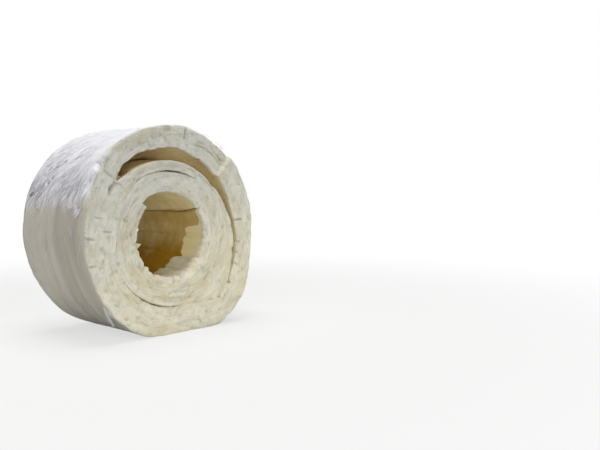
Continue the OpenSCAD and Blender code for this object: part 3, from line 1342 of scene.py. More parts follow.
        # The cut edge's cream reaches into the bore: its lip, and painted light on the lower right.
        cut = pad.math("MAXIMUM", pad.mark("cut_edge"), self.within("lip_to"))
        base = pad.colour_mix(cut, pad.colour_mix(brown_and_shade_share, self.skin(), self.bore()), self.edge())
        rough = pad.times(self.layers, look.layer_bump)
        for noise, share in ((self.fleece, look.fleece_bump), (self.specks, look.speck_bump)):
            rough = pad.plus(rough, pad.times(noise, share))
        bump = pad.add("ShaderNodeBump", {
            "Height": rough, "Distance": look.bump_height, "Strength": 1.0,
        })
        shader = pad.add("ShaderNodeBsdfPrincipled", {
            "Base Color": base, "Roughness": look.roughness, "Specular IOR Level": look.specular,
            "Sheen Weight": pad.times(pad.less(1.0, brown_and_shade_share), look.sheen),
            "Sheen Roughness": look.sheen_roughness, "Normal": bump.outputs[0],
        })
        pad.add("ShaderNodeOutputMaterial", {"Surface": shader.outputs[0]})
        return self.made


@dataclass
class WoundBlanket:
    """The roll itself: the strip's mesh, wound up, with its woolly finish."""

    strip: BlanketStrip
    finish: WoolFinish
    name: str = "wound_blanket"
    corner_cut: float = 0.55
    # Share of the bore's browns on the gap's walls: painted shade between the turns.
    gap_brown_and_shade: float = 0.92
    # Painted shade in the gap where the tail comes down, over these winding angles.
    tail_shade_share: float = 0.75
    tail_shade_angles: tuple[float, float] = (376.0, 364.0)
    zone_fray: WoolPattern = WoolPattern(61, 0.10, 10 * MM)
    stripe_wander: WoolPattern = WoolPattern(64, 0.03, 25.0)
    broad_tongues: WoolPattern = WoolPattern(62, 4.0, 1 / 16, 40.0)
    thin_tongues: WoolPattern = WoolPattern(63, 3.0, 1 / 45, 40.0)
    combed_left: float = 340.0
    left_blur: float = 5.0
    combed_right: float = 88.0
    right_blur: float = 14.0
    right_tongues: float = 3.0

    def flat_mesh(self) -> bpy.types.Mesh:
        """Makes the strip laid out flat, with what the winding and the finish read.

        Returns:
            The mesh, with its winding angle, radius, the cut edges' painted shade and zones as
            attributes.
        """
        strip = self.strip
        stations, along = strip.stations()
        sides, across, behind = strip.outline()
        rows, columns = len(stations), len(sides)
        angle, run = stations[:, None], along[:, None]
        reach, axial, tear = strip.surface(angle, run, across[None, :], behind[None, :])
        reach = strip.above_floor(angle, reach)
        flat = np.stack([np.broadcast_to(run, reach.shape), axial, reach], axis=-1).reshape(-1, 3)
        row, column = np.meshgrid(np.arange(rows - 1), np.arange(columns), indexing="ij")
        beside = (column + 1) % columns
        quads = np.stack([
            row * columns + column, row * columns + beside,
            (row + 1) * columns + beside, (row + 1) * columns + column,
        ], axis=-1).reshape(-1, 4)
        faces = quads.tolist()
        faces.append(list(range(columns))[::-1])
        faces.append([(rows - 1) * columns + c for c in range(columns)])
        mesh = bpy.data.meshes.new(self.name)
        mesh.from_pydata(flat.tolist(), [], faces)
        smooth = np.ones(len(faces), dtype=bool)
        smooth[-2:] = False
        mesh.polygons.foreach_set("use_smooth", smooth)
        whole = np.ones_like(reach)
        # The tear mark is the cut edges' painted shade.
        marks = {"unwind": angle, "reach": reach, "tear": tear, **self.zones(angle, run, sides, behind)}
        for name, values in marks.items():
            set_attribute(mesh, name, whole * values)
        self.lay_uv(mesh, along, sides, across, behind)
        mesh.update()
        return mesh

    def zones(self, angle: Array, run: Array, sides: Array, behind: Array) -> dict[str, Array]:
        """Finds where each part of the finish shows.

        Args:
            angle: Winding angle of each station, as a column.
            run: Length along the strip of each station, as a column.
            sides: Side of each point of the section.
            behind: Share along the roll of each point of the section.

        Returns:
            Values by the name of their attribute, in shapes that broadcast over the mesh.
        """
        strip = self.strip
        cut = np.isin(sides, (Side.FRONT.value, Side.BACK.value))
        cut = np.where(np.diff(sides, prepend=-1) != 0, self.corner_cut, cut)
        inner, outer = sides == Side.INNER.value, sides == Side.OUTER.value
        in_bore = angle > strip.bore_from
        lapped = strip.lap_least + (strip.lap_most - strip.lap_least) * strip.lap_settled(behind)
        in_gap = outer & (angle > FULL_TURN + lapped)
        # Inner skins take the bore's browns; in the gap under the loose turn both walls take them as
        # painted shade.
        inner_brown_share = np.where(in_bore, 1.0, self.gap_brown_and_shade)
        ragged = MM * (1.0 + self.zone_fray.at(run))
        # Painted shade in the gap where the tail comes down, and along the bore's crease.
        tail_gap_shade = self.tail_shade_share * in_gap * smooth_step(*self.tail_shade_angles, angle)
        crease_shade = strip.crease(angle, behind * strip.length) * inner * in_bore
        return {
            "cut_edge": cut,
            "lip_to": np.where(in_bore, strip.lip_and_lit_reach.at(angle) * ragged, -1.0),
            "pale_to": np.where(in_bore, strip.pale_and_lit_reach.at(angle) * ragged, -1.0),
            "brown": strip.browning_and_shade.at(angle),
            "stripe": strip.stripes.at(behind + self.stripe_wander.at(angle)),
            "hot_face": np.maximum(inner_brown_share * inner, self.gap_brown_and_shade * in_gap),
            "combed": self.combed(angle, behind[None, :]),
            "worn": strip.worn(angle, behind[None, :]) * outer,
            "crease": np.maximum(crease_shade, tail_gap_shade),
            "behind": behind,
        }

    def combed(self, angle: Array, behind: Array) -> Array:
        """Where the flank is white combed fibre, down to ragged tongues under the tail.

        Args:
            angle: Winding angle.
            behind: Share along the roll from the front end.

        Returns:
            1 on the combed part, 0 on the dusty part below it.
        """
        tongues = self.broad_tongues.at(behind, angle) + self.thin_tongues.at(behind, angle)
        left = smooth_step(-self.left_blur, self.left_blur, angle - self.combed_left - tongues)
        right = angle - self.combed_right - self.right_tongues * tongues
        return np.maximum(left, smooth_step(self.right_blur, -self.right_blur, right))

    def lay_uv(
        self, mesh: bpy.types.Mesh, along: Array, sides: Array, across: Array, behind: Array
    ) -> None:
        """Gives the mesh a map of metres along the strip and metres round its section.

        Args:
            mesh: The flat strip.
            along: Length along the strip of each station.
            sides: Side of each point of the section.
            across: Share across the thickness of each point.
            behind: Share along the roll of each point.
        """
        thick, long = self.strip.thickness, self.strip.length
        starts = {
            Side.FRONT: 0.0, Side.OUTER: thick,
            Side.BACK: thick + long, Side.INNER: 2 * thick + long,
        }
        spans = {
            Side.FRONT: across * thick, Side.OUTER: behind * long,
            Side.BACK: (1 - across) * thick, Side.INNER: (1 - behind) * long,
        }
        round_by = np.zeros(len(sides))
        for side in Side:
            here = sides == side.value
            round_by[here] = starts[side] + spans[side][here]
        ends = np.append(round_by[1:], 2 * (thick + long))
        count = len(along) - 1
        u = np.empty((count, len(sides), 4))
        v = np.empty_like(u)
        u[..., 0] = u[..., 1] = along[:-1, None]
        u[..., 2] = u[..., 3] = along[1:, None]
        v[..., 0] = v[..., 3] = round_by
        v[..., 1] = v[..., 2] = ends
        caps = np.stack([np.repeat((along[0], along[-1]), len(sides)), np.tile(round_by, 2)], axis=-1)
        pairs = np.concatenate([np.stack([u, v], axis=-1).reshape(-1, 2), caps])
        layer = mesh.uv_layers.new(name="strip_map")
        layer.uv.foreach_set("vector", pairs.astype(np.float32).ravel())

    def build(self, winder: WindingTree, tree: bpy.types.NodeTree) -> bpy.types.Object:
        """Args:
            winder: What winds it.
            tree: The winding tree.

        Returns:
            The finished piece.
        """
        finish = WoolShader(self.finish, self.strip.length).build()
        piece = winder.wind(new_object(self.name, self.flat_mesh()), tree, finish)
        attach(piece, "root")
        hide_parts("blanket_roll")
        return piece


class Lay(Enum):
    """Which face of the strip a patch of fibres lies on."""

    FLANK = "flank"
    FRONT_EDGE = "front_edge"
    BACK_EDGE = "back_edge"


@dataclass
class FibreTree:
    """Geometry Nodes tree that scatters bent, tapering fibres over a flat field."""

    name: str = "scatter_fibres"
    amount_attribute: str = "amount"
    heading_attribute: str = "heading"
    sides: int = 3
    segments: int = 5
    roll_spread: float = 0.06
    tilt_range: tuple[float, float] = (-1.0, 0.3)
    size_range: tuple[float, float] = (0.35, 1.0)
    width_range: tuple[float, float] = (0.6, 1.3)
    tip_share: float = 0.08
    lift_power: float = 1.6
    waver_grain: float = 0.012
    waver_way: tuple[float, float, float] = (1.0, 1.0, 0.07)

    def build(self) -> bpy.types.NodeTree:
        """Makes the tree, with the fibres' number, sizes, spread and seed as inputs."""
        sizes = ("Density", "Length", "Thickness", "Flatness", "Lift", "Pitch", "Stray", "Waver")
        numbers = dict.fromkeys(sizes, "Float")
        pad = geometry_tree(
            self.name, {"Field": "Geometry", **numbers, "Seed": "Int", "Finish": "Material"}, "Fibres"
        )
        given = pad.add("NodeGroupInput").outputs
        roots = pad.add("GeometryNodeDistributePointsOnFaces", {
            "Mesh": given["Field"], "Seed": given["Seed"],
            "Density": pad.times(pad.stored(self.amount_attribute), given["Density"]),
        }, distribute_method="RANDOM").outputs["Points"]
        stray = pad.times(self.chance(pad, -1.0, 1.0, 1), given["Stray"])
        turn = pad.plus(pad.stored(self.heading_attribute), stray)
        tilt = pad.times(self.chance(pad, *self.tilt_range, 2), given["Pitch"])
        roll = self.chance(pad, -self.roll_spread, self.roll_spread, 3)
        spun = pad.add("FunctionNodeEulerToRotation", {0: pad.vector(roll, tilt, turn)})
        size, width = self.chance(pad, *self.size_range, 4), self.chance(pad, *self.width_range, 5)
        laid = pad.add("GeometryNodeInstanceOnPoints", {
            "Points": roots, "Instance": self.fibre(pad, given), "Rotation": spun.outputs[0],
            "Scale": pad.vector(size, width, size),
        })
        toned = pad.add("GeometryNodeStoreNamedAttribute", {
            "Geometry": laid.outputs[0], "Name": "tone", "Value": self.chance(pad, 0.0, 1.0, 6),
        }, data_type="FLOAT", domain="INSTANCE")
        real = pad.add("GeometryNodeRealizeInstances", {"Geometry": toned.outputs[0]})
        waved = pad.add("GeometryNodeSetPosition", {
            "Geometry": real.outputs[0], "Offset": self.waver(pad, given),
        })
        pad.dress(waved.outputs[0], given["Finish"])
        return pad.tree

    def chance(self, pad: NodePad, low: float, high: float, seed: int) -> Socket:
        """A random number for each fibre.

        Args:
            pad: The tree to add it to.
            low: Smallest value.
            high: Largest value.
            seed: Keeps it apart from the tree's other random numbers.

        Returns:
            The socket with the number.
        """
        node = pad.add("FunctionNodeRandomValue", data_type="FLOAT")
        for socket, value in zip([s for s in node.inputs if s.enabled], (low, high, None, seed)):
            if value is not None:
                pad.feed(socket, value)
        return next(s for s in node.outputs if s.enabled)

    def fibre(self, pad: NodePad, given: bpy.types.NodeOutputs) -> Socket:
        """One fibre along X, tapering to its tip and lifting off the field.

        Args:
            pad: The tree to add it to.
            given: The tree's inputs.

        Returns:
            The fibre's geometry socket, with the share along it stored as an attribute.
        """
        tube = pad.add("GeometryNodeMeshCylinder", {
            "Vertices": self.sides, "Side Segments": self.segments, "Radius": 1.0, "Depth": 1.0,
        }, fill_type="NGON").outputs["Mesh"]
        spot = pad.parts(pad.add("GeometryNodeInputPosition").outputs[0])
        share = pad.plus(spot["Z"], 0.5)
        kept = pad.add("GeometryNodeStoreNamedAttribute", {
            "Geometry": tube, "Name": "strand", "Value": share,
        }, data_type="FLOAT", domain="POINT").outputs[0]
        middle = pad.times(pad.less(1.0, share), pad.times(share, 4.0))
        belly = pad.math("SQRT", pad.math("MAXIMUM", middle, 0.0))
        taper = pad.plus(self.tip_share, pad.times(1.0 - self.tip_share, belly))
        girth = pad.times(given["Thickness"], taper)
        lifted = pad.times(given["Lift"], pad.math("POWER", share, self.lift_power))
        height = pad.times(spot["X"], pad.times(girth, given["Flatness"]))
        place = pad.vector(
            pad.times(share, given["Length"]),
            pad.times(pad.times(spot["Y"], -1.0), girth),
            pad.plus(height, lifted),
        )
        return pad.add("GeometryNodeSetPosition", {"Geometry": kept, "Position": place}).outputs[0]

    def waver(self, pad: NodePad, given: bpy.types.NodeOutputs) -> Socket:
        """Sideways wander that grows from a fibre's root to its tip.

        Args:
            pad: The tree to add it to.
            given: The tree's inputs.

        Returns:
            The socket with the offset.
        """
        def moved(operation: str, inputs: dict) -> Socket:
            """Result of a Vector Math node."""
            return pad.add("ShaderNodeVectorMath", inputs, operation=operation).outputs[0]

        place = pad.add("GeometryNodeInputPosition").outputs[0]
        grain = moved("SCALE", {0: place, "Scale": 1.0 / self.waver_grain})
        noise = pad.add("ShaderNodeTexNoise", {"Vector": grain, "Scale": 1.0, "Detail": 1.0})
        centred = moved("SUBTRACT", {0: noise.outputs["Color"], 1: (0.5, 0.5, 0.5)})
        low = moved("MULTIPLY", {0: centred, 1: self.waver_way})
        return moved("SCALE", {0: low, "Scale": pad.times(pad.stored("strand"), given["Waver"])})


@dataclass
class FibrePatch:
    """Loose fibres on one face of the strip, scattered flat and wound with it."""

    strip: BlanketStrip
    name: str
    lay: Lay
    seed: int
    angles: tuple[float, float]
    density: float
    fibre_length: float
    thickness: float
    flatness: float
    lift: float
    pitch: float
    stray: float
    waver: float
    field_step: float = 4 * MM
    own_shade: float = 0.35
    lap_reach: ClassVar[float] = 8.0
    least_columns: ClassVar[int] = 6

    def heading(self, angle: Array, share: Array) -> Array:
        """Direction in which fibres point, in radians from along the strip to across it."""
        return np.zeros_like(angle)

    def amount(self, angle: Array, share: Array) -> Array:
        """How thick the fibres lie, 0 to 1.

        Args:
            angle: Winding angle.
            share: Share across the face; not used here.

        Returns:
            The amount at each point.
        """
        return np.ones_like(angle)

    @property
    def width(self) -> float:
        """Width of the face that the fibres lie on."""
        edges = (Lay.FRONT_EDGE, Lay.BACK_EDGE)
        return self.strip.thickness if self.lay in edges else self.strip.length

    def run_of(self, angle: Array) -> Array:
        """Place along the flat field of a winding angle."""
        if self.lay is Lay.FLANK:
            return np.radians(angle) * self.strip.radius
        stations, along = self.strip.stations()
        return np.interp(angle, stations, along)

    def angle_of(self, run: Array) -> Array:
        """Winding angle of a place along the flat field."""
        if self.lay is Lay.FLANK:
            return np.degrees(run / self.strip.radius)
        stations, along = self.strip.stations()
        return np.interp(run, along, stations)

    def field(self) -> bpy.types.Object:
        """Makes the flat field that the fibres grow on."""
        first, last = self.run_of(np.array(self.angles))
        rows = max(int((last - first) / self.field_step), 2)
        columns = max(int(self.width / self.field_step), self.least_columns)
        runs, widths = np.linspace(first, last, rows), np.linspace(0.0, self.width, columns)
        run, across = np.meshgrid(runs, widths, indexing="ij")
        points = np.stack([run, across, np.zeros_like(run)], axis=-1).reshape(-1, 3)
        row, column = np.meshgrid(np.arange(rows - 1), np.arange(columns - 1), indexing="ij")
        corner = (row * columns + column).ravel()
        quads = np.stack([corner, corner + columns, corner + columns + 1, corner + 1], axis=-1)
        mesh = bpy.data.meshes.new(self.name)
        mesh.from_pydata(points.tolist(), [], quads.tolist())
        angle, share = self.angle_of(points[:, 0]), points[:, 1] / self.width
        set_attribute(mesh, "amount", np.clip(self.amount(angle, share), 0.0, 1.0))
        set_attribute(mesh, "heading", self.heading(angle, share))
        return new_object(self.name, mesh)

    def lay_on(self, mesh: bpy.types.Mesh) -> None:
        """Lays the flat fibres on their face of the strip, ready for winding.

        Args:
            mesh: The scattered fibres, with their height over the field as Z.
        """
        flat = np.empty(len(mesh.vertices) * 3)
        mesh.vertices.foreach_get("co", flat)
        run, across, height = flat.reshape(-1, 3).T
        strip, share = self.strip, np.clip(across / self.width, 0.0, 1.0)
        stations, along = strip.stations()
        angle = self.angle_of(run)
        if self.lay is Lay.FLANK:
            turn = np.mod(angle, FULL_TURN)
            lap = np.where(turn < self.lap_reach, turn + FULL_TURN, turn)
            reach = np.maximum(
                strip.outer_skin(turn, np.interp(turn, stations, along), share),
                strip.outer_skin(lap, np.interp(lap, stations, along), share),
            ) + height
            axial = np.clip(across, 0.0, strip.length) - 0.5 * strip.length
        elif self.lay is Lay.FRONT_EDGE:
            reach, axial, _ = strip.surface(angle, run, share, np.zeros_like(share))
            axial = axial - height
        else:
            reach, axial, _ = strip.surface(angle, run, 1.0 - share, np.ones_like(share))
            axial = axial + height
        reach = strip.above_floor(angle, reach)
        flat = np.stack([run, axial, reach], axis=-1)
        mesh.vertices.foreach_set("co", flat.ravel())
        set_attribute(mesh, "unwind", angle)
        set_attribute(mesh, "reach", reach)
        mesh.polygons.foreach_set("use_smooth", np.ones(len(mesh.polygons), dtype=bool))
        mesh.update()

    def build(
        self, scatter: bpy.types.NodeTree, winder: WindingTree, tree: bpy.types.NodeTree,
        finish: bpy.types.Material,
    ) -> bpy.types.Object:
        """Args:
            scatter: The tree that scatters them.
            winder: What winds them.
            tree: The winding tree.
            finish: Their material.

        Returns:
            The finished piece.
        """
        values = {
            "Density": self.density, "Length": self.fibre_length, "Thickness": self.thickness,
            "Flatness": self.flatness, "Lift": self.lift, "Pitch": self.pitch, "Stray": self.stray,
            "Waver": self.waver, "Seed": self.seed, "Finish": finish,
        }
        piece = run_tree(self.field(), scatter, values)
        self.lay_on(piece.data)
        winder.wind(piece, tree, finish)
        self.soften(piece.data)
        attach(piece, "root")
        return piece

    def soften(self, mesh: bpy.types.Mesh) -> None:
        """Turns the fibres' shading most of the way to that of the face they lie on.

        Args:
            mesh: The wound fibres.
        """
        count = len(mesh.vertices)
        own, place = np.empty(count * 3), np.empty(count * 3)
        mesh.vertices.foreach_get("normal", own)
        mesh.vertices.foreach_get("co", place)
        own, place = own.reshape(-1, 3), place.reshape(-1, 3)
        facing = {Lay.FRONT_EDGE: (0.0, -1.0, 0.0), Lay.BACK_EDGE: (0.0, 1.0, 0.0)}.get(self.lay)
        if facing is None:
            out = place - np.array((self.strip.axis_aside, 0.0, self.strip.axis_height))
            out[:, 1] = 0.0
            out /= np.linalg.norm(out, axis=1, keepdims=True)
        else:
            out = np.tile(facing, (count, 1))
        soft = self.own_shade * own + (1.0 - self.own_shade) * out
        soft /= np.linalg.norm(soft, axis=1, keepdims=True)
        mesh.normals_split_custom_set_from_vertices(soft.tolist())


@dataclass
class TailFeathers(FibrePatch):
    """Long white fibres that hang from the torn tail down the flank."""

    root_angle: float = 360.0
    front_lean: float = 0.12
    middle_lean: float = 0.5
    middle_run: tuple[float, float] = (0.0, 0.45)
    back_lean: float = -0.55
    back_run: tuple[float, float] = (0.6, 1.0)
    near_row: Bump = Bump(2.0, 14.0, 1.0)
    far_row: Bump = Bump(20.0, 24.0, 0.3)
    swing: WoolPattern = WoolPattern(71, 0.22, 1 / 8, 30.0)
    locks: WoolPattern = WoolPattern(72, 1.0, 1 / 15, 26.0)
    lock_edge: tuple[float, float] = (-0.3, 0.4)
    thin_share: float = 0.15
    worn_share: float = 0.85
    bare_rim: tuple[float, float] = (0.07, 0.14)

    def heading(self, angle: Array, share: Array) -> Array:
        """Down the flank, leaning to the back further from the front end."""
        lean = self.front_lean + self.middle_lean * smooth_step(*self.middle_run, share)
        lean = lean + self.back_lean * smooth_step(*self.back_run, share)
        return np.pi - lean - self.swing.at(share, angle)

    def amount(self, angle: Array, share: Array) -> Array:
        """Thickest along the tail, in locks with gaps between them."""
        locks = smooth_step(*self.lock_edge, self.locks.at(share, angle))
        from_root = angle - self.root_angle
        near = np.maximum(self.near_row.at(from_root), self.far_row.at(from_root))
        bare = 1.0 - self.worn_share * self.strip.worn(np.mod(angle, FULL_TURN), share)
        thick = self.thin_share + (1.0 - self.thin_share) * locks
        return near * thick * smooth_step(*self.bare_rim, share) * bare


@dataclass
class FlankFleece(FibrePatch):
    """Short stray fibres all over the flank."""

    swing: WoolPattern = WoolPattern(73, 0.5, 1 / 4, 30.0)
    patches: WoolPattern = WoolPattern(74, 1.0, 1 / 6, 12.0)
    patch_edge: tuple[float, float] = (-0.4, 0.5)
    thin_share: float = 0.35
    under: Bump = Bump(233.0, 40.0, 0.9)
    skyline: Bump = Bump(130.0, 90.0, 0.8)
    dusty_from: tuple[float, float] = (240.0, 262.0)
    dusty_to: tuple[float, float] = (345.0, 332.0)
    dusty_share: float = 0.7

    def heading(self, angle: Array, share: Array) -> Array:
        """Round the roll, with a slow swing."""
        return np.pi + self.swing.at(share, angle)

    def amount(self, angle: Array, share: Array) -> Array:
        """Uneven, less on the skyline and low down, and next to none under the roll."""
        turn = np.mod(angle, FULL_TURN)
        dusty = smooth_step(*self.dusty_from, turn) * smooth_step(*self.dusty_to, turn)
        patchy = smooth_step(*self.patch_edge, self.patches.at(share, angle))
        thick = self.thin_share + (1.0 - self.thin_share) * patchy
        clear = (1.0 - self.under.at(turn)) * (1.0 - self.skyline.at(turn))
        return thick * clear * (1.0 - self.dusty_share * dusty)


@dataclass
class EdgeFuzz(FibrePatch):
    """Short fibres that stand out of a cut edge."""

    ways: WoolPattern = WoolPattern(75, 0.5, 1 / 40, 1.0)
    patches: WoolPattern = WoolPattern(76, 0.3, 1 / 3, 9.0)
    plain_share: float = 0.35
    rim_share: float = 0.35
    rim_width: float = 0.2

    def heading(self, angle: Array, share: Array) -> Array:
        """Along the layers, either way."""
        return np.pi * np.round(self.ways.at(share, angle) + 0.5)

    def amount(self, angle: Array, share: Array) -> Array:
        """More along the rims and in patches."""
        inner = smooth_step(self.rim_width, 0.0, share)
        outer = smooth_step(1.0 - self.rim_width, 1.0, share)
        rims = self.rim_share * np.maximum(inner, outer)
        return self.plain_share + rims + self.patches.at(share, angle)


@dataclass(frozen=True)
class Tuft:
    """A dense little clump of fibres at a direction and a distance behind the front end."""

    direction: float
    behind: float
    half_angle: float = 2.6
    half_width: float = 5 * MM


@dataclass
class FlankTufts(FibrePatch):
    """Clumps of fibre that have worked loose on the flank."""

    tufts: tuple[Tuft, ...] = (
        Tuft(288.0, 111 * MM),
        Tuft(288.0, 32 * MM, 3.0, 4 * MM),
        Tuft(284.5, 16 * MM, 2.2, 4 * MM),
        Tuft(301.0, 122 * MM, 2.5, 6 * MM),
        Tuft(296.0, 78 * MM, 2.4, 5 * MM),
        Tuft(228.0, 4 * MM, 1.6, 4 * MM),
    )
    lean: float = 0.1

    def heading(self, angle: Array, share: Array) -> Array:
        """Down the flank."""
        return np.full_like(angle, np.pi - self.lean)

    def amount(self, angle: Array, share: Array) -> Array:
        """Only in the clumps."""
        total = np.zeros_like(angle)
        turn = np.mod(self.strip.tail_dir + angle, FULL_TURN)
        for tuft in self.tufts:
            spot = bump_at(tuft.direction, tuft.half_angle, turn)
            total = total + spot * bump_at(tuft.behind, tuft.half_width, share * self.strip.length)
        return total


def fibre_material(look: WoolFinish, name: str, pale: Colour, grey: float) -> bpy.types.Material:
    """Makes the finish of loose fibres: pale to grey from fibre to fibre, greyer lower down.

    Args:
        look: The blanket's finish.
        name: The material's name.
        pale: Colour of the palest fibres.
        grey: How grey the greyest fibres are, 0 to 1.

    Returns:
        The material.
    """
    made = bpy.data.materials.new(name)
    made.use_nodes = True
    pad = NodePad(made.node_tree)
    where = pad.add("ShaderNodeTexCoord").outputs["Object"]
    clumps = pad.add("ShaderNodeTexNoise", {"Vector": where, "Scale": look.clump_scale, "Detail": 2.0})
    grain = pad.add("ShaderNodeTexNoise", {"Vector": where, "Scale": look.fibre_scale, "Detail": 1.0})
    low = pad.ramp(pad.parts(where)["Z"], look.clean_height, look.dusty_height)
    lower = pad.math("MULTIPLY_ADD", low, look.tone_rise, look.tone_base)
    own = pad.times(pad.veil(pad.mark("tone"), look.tone_veil), lower)
    clumped = pad.veil(clumps.outputs["Fac"], look.clump_veil)
    greyed = pad.times(pad.math("MAXIMUM", own, clumped), grey)
    base = pad.colour_mix(greyed, pale, look.fibre_grey)
    bump = pad.add("ShaderNodeBump", {
        "Height": grain.outputs["Fac"], "Distance": look.fibre_bump,
        "Strength": look.fibre_bump_strength,
    })
    shader = pad.add("ShaderNodeBsdfPrincipled", {
        "Base Color": base, "Roughness": look.fibre_roughness, "Sheen Weight": look.sheen,
        "Specular IOR Level": look.fibre_specular, "Normal": bump.outputs[0],
    })
    pad.add("ShaderNodeOutputMaterial", {"Surface": shader.outputs[0]})
    return made


@dataclass(frozen=True)
class Lamp:
    """A soft square lamp: its name, where it hangs, its side and its power in watts."""

    name: str
    place: tuple[float, float, float]
    size: float
    power: float


@dataclass
class Studio:
    """Floor, soft light, white background and the camera."""

    strip: BlanketStrip
    floor_finish: FloorFinish
    frame_size: tuple[int, int] = (600, 450)
    focal_px: float = 700.0
    sensor: float = 36.0
    azimuth: float = -47.3435
    elevation: float = 3.2520
    distance_in_radii: float = 6.6114
    end_centre_px: tuple[float, float] = (176.58, 232.94)
    floor_half: float = 4.0
    world_light: float = 0.1
    lamps: tuple[Lamp, ...] = (
        Lamp("key_lamp", (-1.45, -0.75, 1.25), 0.5, 2.5),
        Lamp("left_lamp", (-1.25, -1.3, 0.35), 0.6, 5.5),
        Lamp("front_lamp", (-0.1, -1.9, 0.5), 1.2, 10.5),
        Lamp("top_lamp", (0.0, 0.0, 1.9), 1.2, 30.0),
    )

    def floor(self) -> None:
        """Lays the pale floor, which keeps the shadow and fades to white further off."""
        h = self.floor_half
        mesh = bpy.data.meshes.new("studio_floor")
        mesh.from_pydata([(-h, -h, 0), (h, -h, 0), (h, h, 0), (-h, h, 0)], [], [(0, 1, 2, 3)])
        obj = new_object("studio_floor", mesh)
        look = self.floor_finish
        made = bpy.data.materials.new("studio_floor")
        made.use_nodes = True
        pad = NodePad(made.node_tree)
        where = pad.add("ShaderNodeTexCoord").outputs["Object"]
        far = pad.add("ShaderNodeVectorMath", {0: where}, operation="LENGTH").outputs["Value"]
        fade = pad.ramp(far, look.fade_from, look.fade_to)
        fade = pad.plus(look.near_white, pad.times(fade, 1.0 - look.near_white))
        seen = self.seen_ray(pad)
        colour = (*look.colour, 1.0)
        matt = pad.add("ShaderNodeBsdfDiffuse", {"Color": colour, "Roughness": look.roughness})
        white = pad.add("ShaderNodeEmission", {"Strength": 1.0})
        mixed = pad.add("ShaderNodeMixShader", {
            0: pad.times(fade, seen), 1: matt.outputs[0], 2: white.outputs[0],
        })
        pad.add("ShaderNodeOutputMaterial", {"Surface": mixed.outputs[0]})
        mesh.materials.append(made)
        obj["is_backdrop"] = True

    def seen_ray(self, pad: NodePad) -> Socket:
        """Is 1 for rays that see the background, straight, mirrored or through glass."""
        path = pad.add("ShaderNodeLightPath").outputs
        mirrored = pad.math("MAXIMUM", path["Is Glossy Ray"], path["Is Transmission Ray"])
        return pad.math("MAXIMUM", path["Is Camera Ray"], mirrored)

    def background(self) -> None:
        """Sets a soft even light all round, seen as plain white."""
        world = bpy.data.worlds.new("studio")
        bpy.context.scene.world = world
        world.use_nodes = True
        pad = NodePad(world.node_tree)
        level = pad.math("MULTIPLY_ADD", self.seen_ray(pad), 1.0 - self.world_light, self.world_light)
        sky = pad.add("ShaderNodeBackground", {"Color": (1.0, 1.0, 1.0, 1.0), "Strength": level})
        pad.add("ShaderNodeOutputWorld", {"Surface": sky.outputs[0]})

    def hang(self, lamp: Lamp) -> None:
        """Hangs one lamp, facing the roll."""
        data = bpy.data.lights.new(lamp.name, "AREA")
        data.size = lamp.size
        data.energy = lamp.power
        obj = bpy.data.objects.new(lamp.name, data)
        bpy.context.collection.objects.link(obj)
        obj.visible_camera = False
        obj.location = lamp.place
        aim = Vector((self.strip.axis_aside, 0.0, self.strip.axis_height)) - obj.location
        obj.rotation_euler = aim.to_track_quat("-Z", "Y").to_euler()

    def camera(self) -> None:
        """Stands the camera where the photograph was taken from."""
        az, el = math.radians(self.azimuth), math.radians(self.elevation)
        back = Vector((math.sin(az) * math.cos(el), -math.cos(az) * math.cos(el), math.sin(el)))
        right = (-back).cross(Vector((0, 0, 1))).normalized()
        up = back.cross(right)
        far = self.distance_in_radii * self.strip.radius
        width, height = self.frame_size
        aside = (self.end_centre_px[0] - width / 2) / self.focal_px * far
        below = (self.end_centre_px[1] - height / 2) / self.focal_px * far
        end_centre = Vector((self.strip.axis_aside, -self.strip.length / 2, self.strip.axis_height))
        data = bpy.data.cameras.new("camera")
        data.sensor_width = self.sensor
        data.lens = self.focal_px / width * self.sensor
        obj = bpy.data.objects.new("camera", data)
        bpy.context.collection.objects.link(obj)
        turn = Matrix((right, up, back)).transposed().to_4x4()
        place = end_centre + back * far - right * aside + up * below
        obj.matrix_world = Matrix.Translation(place) @ turn
        bpy.context.scene.camera = obj

    def build(self) -> None:
        """Sets up the whole studio."""
        bpy.context.scene.view_settings.view_transform = "Standard"
        self.floor()
        self.background()
        for lamp in self.lamps:
            self.hang(lamp)
        self.camera()


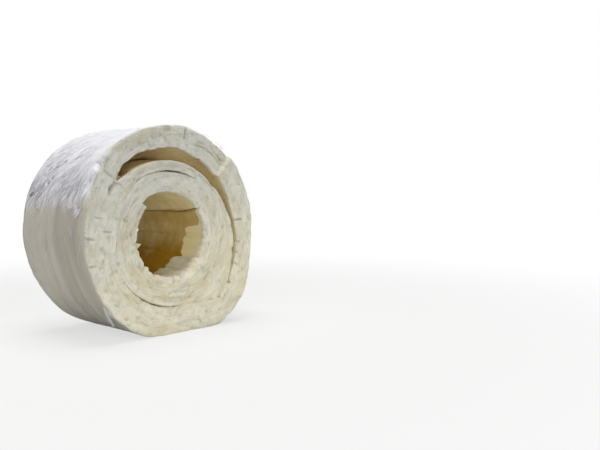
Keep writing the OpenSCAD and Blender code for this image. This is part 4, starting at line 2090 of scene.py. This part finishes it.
def fibre_patches(strip: BlanketStrip) -> tuple[FibrePatch, ...]:
    """Lists the loose fibres of the roll: the tail's, the flank's and those of both cut edges."""
    whole = (1.0, strip.end_angle - 1.0)
    fuzz = dict(
        density=70000.0, fibre_length=7 * MM, thickness=0.22 * MM, flatness=1.0, lift=1.2 * MM,
        pitch=0.15, stray=0.9, waver=5 * MM,
    )
    return (
        TailFeathers(
            strip, "tail_locks", Lay.FLANK, 3, (342.0, 404.0), density=90000.0, fibre_length=62 * MM,
            thickness=1.2 * MM, flatness=0.14, lift=0.25 * MM, pitch=0.003, stray=0.10, waver=6 * MM,
            own_shade=0.25, root_angle=365.0,
        ),
        TailFeathers(
            strip, "tail_wisps", Lay.FLANK, 4, (340.0, 404.0), density=160000.0, fibre_length=46 * MM,
            thickness=0.25 * MM, flatness=0.8, lift=0.6 * MM, pitch=0.006, stray=0.16, waver=7 * MM,
        ),
        TailFeathers(
            strip, "tail_tongues", Lay.FLANK, 6, (340.0, 404.0), density=9000.0, fibre_length=84 * MM,
            thickness=2.4 * MM, flatness=0.12, lift=0.5 * MM, pitch=0.003, stray=0.10, waver=7 * MM,
            own_shade=0.2, root_angle=367.0,
        ),
        FlankTufts(
            strip, "rim_wisp", Lay.FLANK, 12, (275.0, 290.0), density=2400000.0, fibre_length=36 * MM,
            thickness=0.8 * MM, flatness=0.7, lift=7 * MM, pitch=0.05, stray=0.10, waver=7 * MM,
            field_step=1 * MM, tufts=(Tuft(231.0, 8 * MM, 1.2, 2.4 * MM),),
        ),
        FlankFleece(
            strip, "flank_fleece", Lay.FLANK, 5, (0.0, 360.0), density=26000.0, fibre_length=26 * MM,
            thickness=0.25 * MM, flatness=0.6, lift=0.5 * MM, pitch=0.01, stray=0.4, waver=8 * MM,
        ),
        EdgeFuzz(strip, "front_fuzz", Lay.FRONT_EDGE, 7, whole, **fuzz),
        EdgeFuzz(strip, "back_fuzz", Lay.BACK_EDGE, 9, whole, **fuzz),
        FlankTufts(
            strip, "flank_tufts", Lay.FLANK, 11, (255.0, 372.0), density=2000000.0, fibre_length=9 * MM,
            thickness=0.5 * MM, flatness=0.6, lift=1.5 * MM, pitch=0.08, stray=0.45, waver=6 * MM,
        ),
    )


def main() -> None:
    """Builds the roll and its studio, and reports each piece."""
    logging.basicConfig(level=logging.INFO, format="%(message)s")
    cad_low, cad_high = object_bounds()
    bore = next(m for m in frame["record"]["mounts"] if m["kind"] == "bore")
    strip = BlanketStrip.on_frame(cad_low, cad_high, bore["pos_m"])
    Studio(strip, FloorFinish()).build()
    winder = WindingTree(strip)
    tree = winder.build()
    look = WoolFinish()
    pieces = [WoundBlanket(strip, look).build(winder, tree)]
    scatter = FibreTree().build()
    combed = fibre_material(look, "combed_fibre", look.fibre, look.combed_grey)
    tufted = fibre_material(look, "tufted_fibre", look.fibre, look.loose_grey)
    teased = fibre_material(look, "teased_fibre", look.cut_pale, look.loose_grey)
    finishes = {EdgeFuzz: teased, FlankTufts: tufted}
    for patch in fibre_patches(strip):
        pieces.append(patch.build(scatter, winder, tree, finishes.get(type(patch), combed)))
    for piece in pieces:
        LOG.info("%s: %d faces", piece.name, len(piece.data.polygons))


if __name__ == "__main__":
    main()
